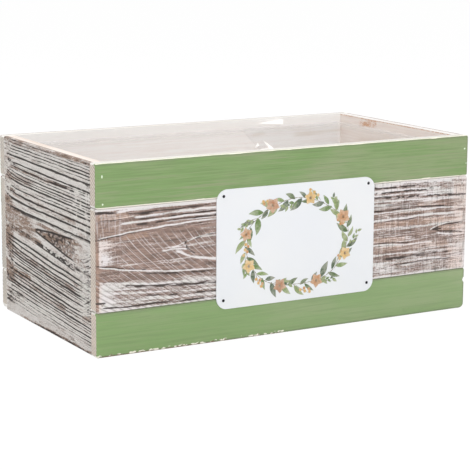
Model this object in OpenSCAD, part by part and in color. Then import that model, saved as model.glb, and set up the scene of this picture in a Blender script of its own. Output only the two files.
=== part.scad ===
// Indoor herb planter: an open box of nailed boards with a folded film liner inside
// and a small tin sign tacked across the front.
// The origin is the centre of the footprint, sign included, on the surface that the
// box stands on. The front faces -Y and the width runs along X. Sizes are millimetres.

/* [Box] */
// Outside width, end to end of the front and back boards
box_width = 350; // [300:1:450]
// Outside depth, front board face to back board face
box_depth = 190; // [150:1:240]
// Outside height, which is also the height of the side panels
box_height = 150; // [130:1:190]
// Thickness of the front and back boards
wall_thickness = 10; // [8:0.5:14]
// Thickness of the side panels
side_thickness = 10; // [8:0.5:14]

/* [Boards] */
// Height of each narrow board, the painted ones at the top and bottom
narrow_board_height = 34.4; // [28:0.1:40]
// Open joint between two boards
board_gap = 0.7; // [0.4:0.1:1.5]
// Radius of the eased outer edges of every board
eased_edge = 1.3; // [0.6:0.1:2]
// Corner radius at the ends of the boards, seen from the front
board_corner = 2.2; // [0.5:0.1:4]
// Radius of the worn lower corners that the box is slid about on
worn_corner = 4.5; // [2:0.1:7]
// Radius of the scoop that is chipped out of one end of the lower front board
chip_radius = 2.8; // [1.5:0.1:4]
// Depth of the chip, measured along the board
chip_depth = 2; // [0.8:0.1:2.6]
// Height of the middle of the chip above the base
chip_height = 24.8; // [12:0.1:25]

/* [Floor] */
// Thickness of the floor board
floor_thickness = 8; // [5:0.5:12]
// How far the floor board sits above the lower edges of the walls
floor_recess = 1; // [0.5:0.5:4]
// Clearance between the floor board and each wall
floor_clearance = 0.2; // [0.1:0.1:0.5]

/* [Brads] */
// Diameter of a brad's shank
brad_diameter = 1.2; // [1:0.1:1.6]
// Length of a brad from head to point
brad_length = 25; // [20:1:32]
// Diameter of a brad's head
brad_head_diameter = 2; // [1.7:0.1:2.6]
// Thickness of a brad's head
brad_head_thickness = 0.6; // [0.4:0.1:1]
// Length of a brad's point
brad_point = 1.6; // [1:0.1:3]
// Depth of a brad's head below the face of the board
brad_set = 0.3; // [0.1:0.1:0.8]
// Clearance around a brad or a tack in its hole
nail_clearance = 0.05; // [0.02:0.01:0.1]
// Upper brad of a narrow board, below the top edge of the board
narrow_brad_top = 9.4; // [6:0.1:12]
// Lower brad of a narrow board, above the bottom edge of the board
narrow_brad_bottom = 4; // [3:0.1:8]
// Outer brads of the wide board, in from its top and bottom edges
wide_brad_edge = 6; // [4:0.5:12]
// Outer brads of the floor board's long edges, in from the ends of the box
floor_brad_inset = 65; // [45:1:90]
// Brads of the floor board's short edges, in from the front and back of the box
side_brad_inset = 45; // [40:1:65]

/* [Brushed grain] */
// Radius of the round-bottomed main grooves that a wire brush wears into the side panels
groove_radius = 0.9; // [0.8:0.05:1.5]
// Depth of these grooves
groove_depth = 0.7; // [0.3:0.05:0.8]
// Height of the uppermost groove below the top edge, halfway along the panel
groove_top = 15.7; // [12:0.1:24]
// Height between one main groove and the next
groove_spacing = 21.9; // [16:0.1:30]
// Where the grooves run out, in from both ends of the panel
groove_end = 12; // [6:0.5:30]
// Fall of the grain above the pointed figure, towards the front, in degrees
upper_fall = 1.3; // [0:0.1:3]
// Fall of the grain at the foot of the panel, in degrees
foot_fall = 2.3; // [0:0.1:4]
// Fall of the grain just below the pointed figure, in degrees
figure_fall = 5.4; // [3:0.1:7]
// Height of the point of the figure, where the rings of the board run out
figure_height = 80; // [74:0.5:84]
// Point of the figure, in from the rear end of the panel
figure_start = 60; // [40:1:80]
// Length of the figure along the panel
figure_length = 78; // [40:1:85]
// Where the groove of the figure's lower edge starts, past the point, so that the two
// grooves stay clear of each other
figure_split = 12; // [10:1:20]
// Angle by which the figure's upper edge rises from its point
figure_upper_angle = 3; // [1:0.1:4]
// Angle by which the figure's lower edge falls from its point
figure_lower_angle = 8.4; // [6:0.1:10]

/* [Sign] */
// Width of the sign
sign_width = 149.4; // [110:0.1:180]
// Thickness of the sign's enamelled sheet
sign_thickness = 1; // [0.6:0.1:2]
// Corner radius of the sign
sign_corner = 9.5; // [4:0.5:14]
// Radius of the sign's rolled front edge
sign_edge = 0.4; // [0.2:0.05:0.5]
// How far the middle of the sign sits to the right of the middle of the box
sign_shift = 3.6; // [-20:0.1:20]
// How far the sign reaches over the top board
sign_over_top = 6.6; // [4:0.1:12]
// How far the sign reaches over the bottom board
sign_over_bottom = 8.4; // [4:0.1:12]

/* [Tacks] */
// Diameter of a tack's domed head
tack_head_diameter = 2.5; // [2:0.1:3.5]
// Height of a tack's domed head
tack_head_height = 0.8; // [0.5:0.1:1.2]
// Diameter of a tack's shank
tack_diameter = 0.9; // [0.7:0.1:1.1]
// Length of a tack's shank under the head
tack_length = 8; // [6:0.5:10]
// Tacks in from the left and right edges of the sign
tack_side_inset = 6.2; // [4:0.1:10]
// Tacks in from the edge of the painted board that they are driven into
tack_board_inset = 1.2; // [1:0.1:2]

/* [Liner] */
// Thickness of the clear film
film_thickness = 0.3; // [0.2:0.05:0.5]
// Clearance between the film and the walls
film_clearance = 0.3; // [0.2:0.05:1]
// How far the top edge of the film lies below the rim
film_drop = 7.4; // [3:0.1:15]
// Radius of the film's upright corners
film_corner = 4; // [2:0.5:8]
// How far each folded ear reaches along the top of a long wall
ear_reach = 106; // [60:1:120]
// How far each folded ear reaches down from the top edge of the film
ear_drop = 106; // [60:1:110]

/* [Hidden] */
$fn = 48;

// Small overshoot that makes a cut pass cleanly through a face
overshoot = 1;

// Where the walls stand: the footprint is centred with the sign and its tacks on it
sign_proud = sign_thickness + tack_head_height;
front_y = (sign_proud - box_depth) / 2;
back_y = front_y + box_depth;
middle_y = (front_y + back_y) / 2;
inner_width = box_width - 2 * side_thickness;
inner_depth = box_depth - 2 * wall_thickness;

// Heights of the three boards of a long wall, from the bottom up
wide_board_height = box_height - 2 * narrow_board_height - 2 * board_gap;
middle_z = narrow_board_height + board_gap;
top_z = box_height - narrow_board_height;

// Heights of the brads above the base: narrow boards take two, the wide one three
narrow_brads = [narrow_brad_bottom, narrow_board_height - narrow_brad_top];
wide_brads = [wide_brad_edge, wide_board_height / 2, wide_board_height - wide_brad_edge];
floor_brad_x = box_width / 2 - floor_brad_inset;
floor_brads_x = [-floor_brad_x, 0, floor_brad_x];
side_brad_y = box_depth / 2 - side_brad_inset;
floor_brads_y = [-side_brad_y, side_brad_y];
floor_brad_z = floor_recess + floor_thickness / 2;
end_brad_x = (box_width - side_thickness) / 2;

// Sign edges and tacks, all taken from the boards that the sign lies on
sign_low = narrow_board_height - sign_over_bottom;
sign_high = top_z + sign_over_top;
tack_heights = [narrow_board_height - tack_board_inset, top_z + tack_board_inset];
tack_span = sign_width - 2 * tack_side_inset;

// Main grooves of a side panel, from the top down to the last that clears its foot
groove_foot = floor_recess + floor_thickness + groove_spacing / 3;
groove_count = floor((box_height - groove_top - groove_foot) / groove_spacing) + 1;

// The film stands on the floor board
film_base = floor_recess + floor_thickness;
film_height = box_height - film_drop - film_base;
film_width = inner_width - 2 * film_clearance;
film_depth = inner_depth - 2 * film_clearance;
ear_thickness = 2 * film_thickness;

wood_white = [0.82, 0.77, 0.73];
wood_brown = [0.62, 0.52, 0.47];
paint_green = [0.55, 0.65, 0.45];

// Rectangle with its own radius at each corner: lower left, lower right,
// upper right and upper left
module cornered(size, radii) {
    places = [[0, 0], [size.x, 0], [size.x, size.y], [0, size.y]];
    difference() {
        square(size);
        for (i = [0:3])
            if (radii[i] > 0)
                translate(places[i]) rotate(90 * i) difference() {
                    translate([-overshoot, -overshoot]) square(radii[i] + overshoot);
                    translate([radii[i], radii[i]]) circle(radii[i]);
                }
    }
}

// Board of a long wall, lying along +X with its outer face on the plane y = 0 and its
// thickness towards +Y: the front outline, the section and the plan cut each other,
// so that all the outer edges are eased
module eased_board(height, lower_corners, upper_corners) {
    intersection() {
        translate([0, wall_thickness, 0]) rotate([90, 0, 0])
            linear_extrude(wall_thickness)
                cornered([box_width, height],
                    [lower_corners[0], lower_corners[1], upper_corners[1], upper_corners[0]]);
        rotate([90, 0, 90])
            linear_extrude(box_width)
                cornered([wall_thickness, height], [eased_edge, 0, 0, eased_edge]);
        linear_extrude(height)
            cornered([box_width, wall_thickness], [eased_edge, eased_edge, 0, 0]);
    }
}

// A brad driven along +Z from a face at z = 0, with the head just below the face
module brad() {
    shank_end = brad_set + brad_length - brad_point;
    translate([0, 0, brad_set])
        cylinder(h = brad_head_thickness, d = brad_head_diameter);
    translate([0, 0, brad_set])
        cylinder(h = brad_length - brad_point, d = brad_diameter);
    translate([0, 0, shank_end])
        cylinder(h = brad_point, d1 = brad_diameter, d2 = brad_diameter / 4);
}

// The hole that a brad makes, from outside the face to just past its point
module brad_hole() {
    translate([0, 0, -overshoot])
        cylinder(h = overshoot + brad_set + brad_head_thickness + nail_clearance,
            d = brad_head_diameter + 2 * nail_clearance);
    cylinder(h = brad_set + brad_length + nail_clearance,
        d = brad_diameter + 2 * nail_clearance);
}

// Puts its children on the outer face of a long wall, looking into the box
module into_front(x, z) {
    translate([x, front_y, z]) rotate([-90, 0, 0]) children();
}

module into_back(x, z) {
    translate([x, back_y, z]) rotate([90, 0, 0]) children();
}

// The same on the outer face of a side panel: side is -1 for left and 1 for right
module into_side(side, y, z) {
    translate([side * box_width / 2, middle_y + y, z])
        rotate([0, -90 * side, 0]) children();
}

module front_end_brads(base, heights) {
    for (x = [-end_brad_x, end_brad_x], z = heights)
        into_front(x, base + z) children();
}

module back_end_brads(base, heights) {
    for (x = [-end_brad_x, end_brad_x], z = heights)
        into_back(x, base + z) children();
}

module front_floor_row() {
    for (x = floor_brads_x) into_front(x, floor_brad_z) children();
}

module back_floor_row() {
    for (x = floor_brads_x) into_back(x, floor_brad_z) children();
}

module side_floor_row(side) {
    for (y = floor_brads_y) into_side(side, y, floor_brad_z) children();
}

// A tack driven along +Z, with the underside of its head on the plane z = 0
module tack() {
    head_radius = tack_head_diameter / 2;
    // The dome is a cap of the sphere that passes through its rim and its crown
    dome_radius = (head_radius * head_radius + tack_head_height * tack_head_height)
        / (2 * tack_head_height);
    intersection() {
        translate([0, 0, dome_radius - tack_head_height]) sphere(dome_radius);
        translate([0, 0, -tack_head_height])
            cylinder(h = tack_head_height, r = head_radius + overshoot);
    }
    cylinder(h = tack_length, d = tack_diameter);
}

module tack_hole() {
    cylinder(h = tack_length + nail_clearance, d = tack_diameter + 2 * nail_clearance);
}

// Puts its children at the tacks of one row, on the front face of the sign
module tack_row(height) {
    for (x = [-tack_span / 2, tack_span / 2])
        translate([sign_shift + x, front_y - sign_thickness, height])
            rotate([-90, 0, 0]) children();
}

module front_board(height, base, lower_corners, upper_corners) {
    translate([-box_width / 2, front_y, base])
        eased_board(height, lower_corners, upper_corners);
}

// A back board is a front board turned about the upright axis
module back_board(height, base, lower_corners, upper_corners) {
    translate([box_width / 2, back_y, base]) rotate(180)
        eased_board(height, lower_corners, upper_corners);
}

module front_top_board() {
    corners = [board_corner, board_corner];
    color(paint_green) difference() {
        front_board(narrow_board_height, top_z, corners, [eased_edge, eased_edge]);
        front_end_brads(top_z, narrow_brads) brad_hole();
        tack_row(tack_heights[1]) tack_hole();
    }
}

module front_middle_board() {
    corners = [board_corner, eased_edge];
    color(wood_brown) difference() {
        front_board(wide_board_height, middle_z, corners, [eased_edge, eased_edge]);
        front_end_brads(middle_z, wide_brads) brad_hole();
    }
}

// The lower board has a worn corner and a chipped end on the right
module front_bottom_board() {
    color(paint_green) difference() {
        front_board(narrow_board_height, 0,
            [eased_edge, worn_corner], [eased_edge, eased_edge]);
        front_end_brads(0, narrow_brads) brad_hole();
        front_floor_row() brad_hole();
        tack_row(tack_heights[0]) tack_hole();
        end_chip();
    }
}

// A scoop across the upright edge at the right end, slanted into the board
module end_chip() {
    translate([box_width / 2, front_y, chip_height])
        rotate([0, 0, 65])
            translate([0, chip_radius - chip_depth * sin(65), 0])
                rotate([0, 90, 0])
                    cylinder(h = 3 * wall_thickness, r = chip_radius, center = true);
}

module back_top_board() {
    corners = [board_corner, board_corner];
    color(wood_white) difference() {
        back_board(narrow_board_height, top_z, corners, [eased_edge, eased_edge]);
        back_end_brads(top_z, narrow_brads) brad_hole();
    }
}

module back_middle_board() {
    corners = [eased_edge, eased_edge];
    color(wood_brown) difference() {
        back_board(wide_board_height, middle_z, corners, corners);
        back_end_brads(middle_z, wide_brads) brad_hole();
    }
}

module back_bottom_board() {
    color(wood_white) difference() {
        back_board(narrow_board_height, 0,
            [worn_corner, worn_corner], [eased_edge, eased_edge]);
        back_end_brads(0, narrow_brads) brad_hole();
        back_floor_row() brad_hole();
    }
}

// Side panel between the long walls, with its outer top and bottom edges eased
module side_panel(side) {
    difference() {
        translate([side * box_width / 2, front_y + wall_thickness, 0])
            mirror([side > 0 ? 1 : 0, 0, 0])
                translate([0, inner_depth, 0]) rotate([90, 0, 0])
                    linear_extrude(inner_depth)
                        cornered([side_thickness, box_height], [eased_edge, 0, 0, eased_edge]);
        for (base_heights = [[0, narrow_brads], [middle_z, wide_brads], [top_z, narrow_brads]]) {
            front_end_brads(base_heights[0], base_heights[1]) brad_hole();
            back_end_brads(base_heights[0], base_heights[1]) brad_hole();
        }
        side_floor_row(side) brad_hole();
        brushed_grooves(side);
    }
}

// A round-bottomed groove in the outer face of a side panel. Both of its ends are given
// as a distance from the rear end of the panel and a height.
module brushed_groove(side, from, to) {
    rise = atan2(to.y - from.y, to.x - from.x);
    axis_x = box_width / 2 + groove_radius - groove_depth;
    translate([side * axis_x, back_y - wall_thickness - from.x, from.y])
        rotate([90 - rise, 0, 0])
            cylinder(h = norm(to - from), r = groove_radius);
}

// The main grooves: level ones above the figure and steeper ones below it, and the two
// edges of the pointed figure between them
module brushed_grooves(side) {
    half_length = inner_depth / 2 - groove_end;
    for (i = [0:groove_count - 1]) {
        height = box_height - groove_top - i * groove_spacing;
        fall = height > figure_height ? upper_fall
            : foot_fall + (figure_fall - foot_fall) * height / figure_height;
        drop = half_length * tan(fall);
        brushed_groove(side,
            [groove_end, height + drop], [inner_depth - groove_end, height - drop]);
    }
    point = [figure_start, figure_height];
    brushed_groove(side, point, point + figure_length * [1, tan(figure_upper_angle)]);
    brushed_groove(side, point + figure_split * [1, -tan(figure_lower_angle)],
        point + figure_length * [1, -tan(figure_lower_angle)]);
}

module left_side_panel() {
    color(wood_white) side_panel(-1);
}

module right_side_panel() {
    color(wood_white) side_panel(1);
}

module floor_board() {
    floor_size = [inner_width - 2 * floor_clearance, inner_depth - 2 * floor_clearance,
        floor_thickness];
    color(wood_brown) difference() {
        translate([-floor_size.x / 2, middle_y - floor_size.y / 2, floor_recess])
            cube(floor_size);
        front_floor_row() brad_hole();
        back_floor_row() brad_hole();
        side_floor_row(-1) brad_hole();
        side_floor_row(1) brad_hole();
    }
}

// Plan of the film tray, drawn in by inset from its outer size
module film_plan(inset) {
    radius = film_corner - inset;
    translate([-film_width / 2 + inset, middle_y - film_depth / 2 + inset])
        cornered([film_width - 2 * inset, film_depth - 2 * inset],
            [radius, radius, radius, radius]);
}

// Ear of doubled film folded flat against a long wall, a right-angled triangle with its
// upright edge at the corner of the tray: end is -1 or 1 for left or right, and face is
// -1 or 1 for the front or back wall
module film_ear(end, face) {
    corner_x = film_width / 2 - film_corner;
    top = film_base + film_height;
    layers = film_thickness + ear_thickness;
    outer_y = middle_y + face * film_depth / 2;
    mirror([end < 0 ? 1 : 0, 0, 0])
        translate([0, face > 0 ? outer_y : outer_y + layers, 0])
            rotate([90, 0, 0])
                linear_extrude(layers)
                    polygon([
                        [corner_x, top],
                        [corner_x - ear_reach, top],
                        [corner_x, top - ear_drop]
                    ]);
}

// Tray folded from one sheet of clear film: walls, floor and the four ears
module film_liner() {
    color([0.9, 0.93, 0.95, 0.4]) {
        difference() {
            translate([0, 0, film_base]) linear_extrude(film_height) film_plan(0);
            translate([0, 0, film_base + film_thickness])
                linear_extrude(film_height) film_plan(film_thickness);
        }
        for (end = [-1, 1], face = [-1, 1]) film_ear(end, face);
    }
}

// Sheet with round corners and a softened front edge, and a hole for each tack
module tin_sign() {
    height = sign_high - sign_low;
    radii = [sign_corner, sign_corner, sign_corner, sign_corner];
    color([0.92, 0.92, 0.93]) difference() {
        translate([sign_shift - sign_width / 2, front_y, sign_low])
            intersection() {
                rotate([90, 0, 0])
                    linear_extrude(sign_thickness) cornered([sign_width, height], radii);
                translate([0, -sign_thickness, 0])
                    linear_extrude(height)
                        cornered([sign_width, sign_thickness], [sign_edge, sign_edge, 0, 0]);
                translate([0, -sign_thickness, 0]) rotate([90, 0, 90])
                    linear_extrude(sign_width)
                        cornered([sign_thickness, height], [sign_edge, 0, 0, sign_edge]);
            }
        for (z = tack_heights) tack_row(z) tack_hole();
    }
}

module sign_tacks() {
    color([0.12, 0.12, 0.13])
        for (z = tack_heights) tack_row(z) tack();
}

module front_top_brads() {
    color("silver") front_end_brads(top_z, narrow_brads) brad();
}

module front_middle_brads() {
    color("silver") front_end_brads(middle_z, wide_brads) brad();
}

module front_bottom_brads() {
    color("silver") front_end_brads(0, narrow_brads) brad();
}

module back_top_brads() {
    color("silver") back_end_brads(top_z, narrow_brads) brad();
}

module back_middle_brads() {
    color("silver") back_end_brads(middle_z, wide_brads) brad();
}

module back_bottom_brads() {
    color("silver") back_end_brads(0, narrow_brads) brad();
}

module front_floor_brads() {
    color("silver") front_floor_row() brad();
}

module back_floor_brads() {
    color("silver") back_floor_row() brad();
}

module left_floor_brads() {
    color("silver") side_floor_row(-1) brad();
}

module right_floor_brads() {
    color("silver") side_floor_row(1) brad();
}

front_top_board();
front_middle_board();
front_bottom_board();
back_top_board();
back_middle_board();
back_bottom_board();
left_side_panel();
right_side_panel();
floor_board();
film_liner();
tin_sign();
sign_tacks();
front_top_brads();
front_middle_brads();
front_bottom_brads();
back_top_brads();
back_middle_brads();
back_bottom_brads();
front_floor_brads();
back_floor_brads();
left_floor_brads();
right_floor_brads();
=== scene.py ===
import bpy
import numpy as np
from bpy.props import FloatProperty, FloatVectorProperty, IntProperty, PointerProperty
from bpy.types import Operator, Panel, PropertyGroup
from mathutils import Matrix, Vector


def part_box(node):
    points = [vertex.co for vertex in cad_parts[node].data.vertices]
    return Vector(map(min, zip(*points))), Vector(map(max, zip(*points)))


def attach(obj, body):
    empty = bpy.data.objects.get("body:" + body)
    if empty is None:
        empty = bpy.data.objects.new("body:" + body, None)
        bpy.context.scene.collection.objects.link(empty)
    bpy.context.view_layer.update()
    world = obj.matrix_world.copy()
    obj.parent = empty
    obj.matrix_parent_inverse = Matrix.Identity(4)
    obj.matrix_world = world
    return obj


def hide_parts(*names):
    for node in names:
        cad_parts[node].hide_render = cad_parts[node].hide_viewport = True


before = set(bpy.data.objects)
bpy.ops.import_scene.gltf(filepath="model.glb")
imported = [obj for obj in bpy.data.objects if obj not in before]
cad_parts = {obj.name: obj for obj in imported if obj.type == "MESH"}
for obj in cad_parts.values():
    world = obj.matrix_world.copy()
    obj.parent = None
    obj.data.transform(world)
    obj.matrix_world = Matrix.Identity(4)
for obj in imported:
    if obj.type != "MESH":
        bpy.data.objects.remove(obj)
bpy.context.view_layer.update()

bl_info = {
    "name": "Indoor herb planter",
    "version": (1, 0, 0),
    "blender": (4, 5, 0),
    "location": "View3D > Sidebar > Planter",
    "description": "Dresses a nailed box with washed and painted wood, a film liner and a tin sign",
    "category": "Object",
}

# Everything is laid out in millimetres and scaled to metres where a mesh is made
MM = 0.001


def node_box(name):
    """Lowest and highest corner of a CAD node, in millimetres."""
    low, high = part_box(name)
    return np.array(low) / MM, np.array(high) / MM


def tint(red, green, blue):
    """Linear colour of the screen colour with these three parts out of 255."""
    parts = [part / 255 for part in (red, green, blue)]
    return tuple(p / 12.92 if p <= 0.04045 else ((p + 0.055) / 1.055) ** 2.4 for p in parts)


def toned(colour, *shares):
    """A colour with its parts multiplied by one share, or by one share each."""
    shares = shares * 3 if len(shares) == 1 else shares
    return tuple(min(part * share, 1) for part, share in zip(colour, shares))


# The box as it was packed: outer corners, wall thickness and board heights
FRONT_LOW, FRONT_HIGH = node_box("front_bottom_board")
BACK_HIGH = node_box("back_top_board")[1]
WIDTH = FRONT_HIGH[0] - FRONT_LOW[0]
WALL = FRONT_HIGH[1] - FRONT_LOW[1]
DEPTH = BACK_HIGH[1] - FRONT_LOW[1]
HEIGHT = BACK_HIGH[2]
MIDDLE_LOW, MIDDLE_HIGH = (corner[2] for corner in node_box("front_middle_board"))
TOP_LOW = node_box("front_top_board")[0][2]
BOTTOM_HIGH = FRONT_HIGH[2]

# Edge radii of the boards as packed
EASED = 1.3
CORNER = 2.2
WORN = 4.5
CHIP_RADIUS = 2.8
CHIP_DEPTH = 2.0
CHIP_HEIGHT = 24.8

# How far each board is taken over the open joint beside it, so that only a hair is left
SNUG = 0.28

# How far a streak of grain fades out past its ends, where its table says nothing else
USUAL_FADE = 5.0

# Distance between the plainest saw marks of the front middle board
SAW_PITCH = 6.6

# Material slots of a board: outer face 0, long edges 1, inner face 2 and sawn ends 3
INNER_SLOT = 2
END_SLOT = 3

# Brads: in from the ends of the walls, and above the base
BRAD_INSET = 5.0
LOW_BRADS = (4.0, 25.0)
MIDDLE_BRADS = (41.1, 75.0, 108.9)
TOP_BRADS = (119.6, 140.6)
FLOOR_BRAD_HEIGHT = 5.0
FLOOR_BRADS_LONG = (65.0, 175.0, 285.0)
FLOOR_BRADS_SIDE = (45.0, 145.0)


class Wall:
    """One side of the box, with its own directions: run goes along it to the right as
    seen from outside, depth goes in from its outer face and height goes up."""

    def __init__(self, corner, run, inward):
        self.corner = np.array((corner[0], corner[1], 0.0))
        self.run = np.array((run[0], run[1], 0.0))
        self.inward = np.array((inward[0], inward[1], 0.0))

    def place(self, run, depth, height):
        """Points of the scene, in metres, from arrays of run, depth and height."""
        points = self.corner + run[..., None] * self.run + depth[..., None] * self.inward
        points[..., 2] = height
        return points * MM


LEFT_X, RIGHT_X = -WIDTH / 2, WIDTH / 2
FRONT_Y, BACK_Y = FRONT_LOW[1], BACK_HIGH[1]
FRONT = Wall((LEFT_X, FRONT_Y), (1, 0), (0, 1))
BACK = Wall((RIGHT_X, BACK_Y), (-1, 0), (0, -1))
LEFT = Wall((LEFT_X, BACK_Y), (0, -1), (1, 0))
RIGHT = Wall((RIGHT_X, FRONT_Y), (0, 1), (-1, 0))


class PlanterBoards(PropertyGroup):
    run_step: FloatProperty(
        name="Step along the grain", description="Mesh spacing along a board, in mm",
        default=1.15, min=0.5, max=5)
    rise_step: FloatProperty(
        name="Step across the grain", description="Mesh spacing across a board, in mm",
        default=0.42, min=0.2, max=3)
    groove_depth: FloatProperty(
        name="Brushing", description="Depth of the brushed grooves against the ones that were measured",
        default=1.0, min=0, max=2)
    green: FloatVectorProperty(
        name="Green paint", description="Colour of the painted boards",
        subtype="COLOR", default=tint(138, 163, 110), min=0, max=1)
    brown: FloatVectorProperty(
        name="Brown wood", description="Colour of the stained wood under the wash",
        subtype="COLOR", default=tint(151, 128, 118), min=0, max=1)
    wash: FloatVectorProperty(
        name="White wash", description="Colour of the wash left on the wood",
        subtype="COLOR", default=tint(236, 230, 231), min=0, max=1)


class PlanterLiner(PropertyGroup):
    wrinkle: FloatProperty(
        name="Wrinkle height", description="How far the film's wrinkles stand off the walls",
        default=0.0012, min=0, max=0.004, unit="LENGTH")
    haze: FloatProperty(
        name="Haze", description="Share of light that one layer of film holds back",
        default=0.03, min=0, max=1, subtype="FACTOR")


class PlanterSign(PropertyGroup):
    enamel: FloatVectorProperty(
        name="Enamel", description="Colour of the sign's ground",
        subtype="COLOR", default=tint(235, 236, 238), min=0, max=1)
    leaves: IntProperty(
        name="Leaves", description="Number of leaves round the printed ring",
        default=54, min=8, max=200)


class PlanterStudio(PropertyGroup):
    sky: FloatProperty(
        name="Sky", description="Strength of the plain white surroundings",
        default=0.6, min=0, max=3)
    key: FloatProperty(
        name="Key lamp", description="Power of the large soft lamp at the front",
        default=11.5, min=0, max=200, subtype="POWER")


def smooth(low, high, value):
    """Smooth step: 0 up to low, 1 from high, and 3t^2 - 2t^3 between them."""
    share = np.clip((value - low) / (high - low), 0, 1)
    return share * share * (3 - 2 * share)


def between(first, second, third, fourth, value):
    """Rises smoothly from 0 to 1 between the first two and falls back between the other two."""
    return smooth(first, second, value) * (1 - smooth(third, fourth, value))


# Columns and rows of the lattice that random fields are made on, after which they repeat
COLUMNS, ROWS = 97, 89


def noise(run, rise, long, high, seed):
    """Random field from -1 to 1 with lumps of long by high millimetres: random numbers on
    a lattice, joined by a smooth step in both directions."""
    lattice = np.random.default_rng(seed).uniform(-1, 1, (COLUMNS, ROWS))
    across, up = run / long, rise / high
    column, row = np.floor(across).astype(int), np.floor(up).astype(int)
    right, above = smooth(0, 1, across - column), smooth(0, 1, up - row)

    def corner(dx, dy):
        return lattice[(column + dx) % COLUMNS, (row + dy) % ROWS]

    lower = corner(0, 0) * (1 - right) + corner(1, 0) * right
    upper = corner(0, 1) * (1 - right) + corner(1, 1) * right
    return lower * (1 - above) + upper * above


def cloudy(run, rise, long, high, seed):
    """The random field of noise, from 0 to 1."""
    return 0.5 + 0.5 * noise(run, rise, long, high, seed)


def strokes(run, rise, table, widen=1.0):
    """The strongest of all the streaks in a table of (points, half width, strength), with
    a fade in mm as fourth fact where the ends are sharper. A streak follows straight
    lines between its points, which are run, height, run, height: it is 1 on its middle
    and 0 past its half width and past its ends. Widen is a number or a field that makes
    the streaks wider here and thinner there."""
    strongest = np.zeros_like(run)
    for points, half_width, strength, *fades in table:
        along_run, heights = points[0::2], points[1::2]
        start, stop = along_run[0], along_run[-1]
        fade = fades[0] if fades else USUAL_FADE
        ends = between(start - fade, start + 0.01, stop, stop + fade, run)
        off = np.abs(rise - np.interp(run, along_run, heights))
        wide = half_width * widen
        line = 1 - smooth(wide * 0.55, wide * 1.35, off)
        strongest = np.maximum(strongest, strength * (ends * line))
    return strongest


class Look:
    """What a board's outer face is like at every point: depth carved away in mm, and
    from 0 to 1 how dark, how washed, how warm and how marked by the saw it is. On the
    side panels that last value is a painted highlight beside the grooves, and on the
    painted boards pale flecks over the brads, partly a painted highlight."""

    def __init__(self, run):
        self.depth, self.dark, self.wash, self.warm, self.saw = np.zeros((5, *run.shape))


def dimples(look, run, height, runs, heights, depth=0.37, stain=0.4):
    """Round hollows over brads: flat to 1 mm from the middle and level with the face
    again at 1.5 mm, with a stain round the edge. Under 0.3 mm deep, they cover the head."""
    for brad_run in runs:
        for brad_height in heights:
            away = np.hypot(run - brad_run, height - brad_height)
            hollow = 1 - smooth(1.0, 1.5, away)
            look.depth = look.depth * (1 - hollow) + depth * hollow
            look.dark = np.maximum(look.dark, stain * between(0.8, 1.2, 1.3, 2.1, away))


# Places where the paint over the brads has flicked off, drawn pale as a painted highlight of the bare
# heads: run, height, half length, half height
BRAD_FLECKS_AND_HIGHLIGHTS = (
    (5.4, 140.1, 0.5, 1.4), (5.7, 118.9, 0.6, 0.8), (346.2, 138.8, 0.8, 0.8), (348.2, 126.2, 0.5, 0.6),
)

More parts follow.
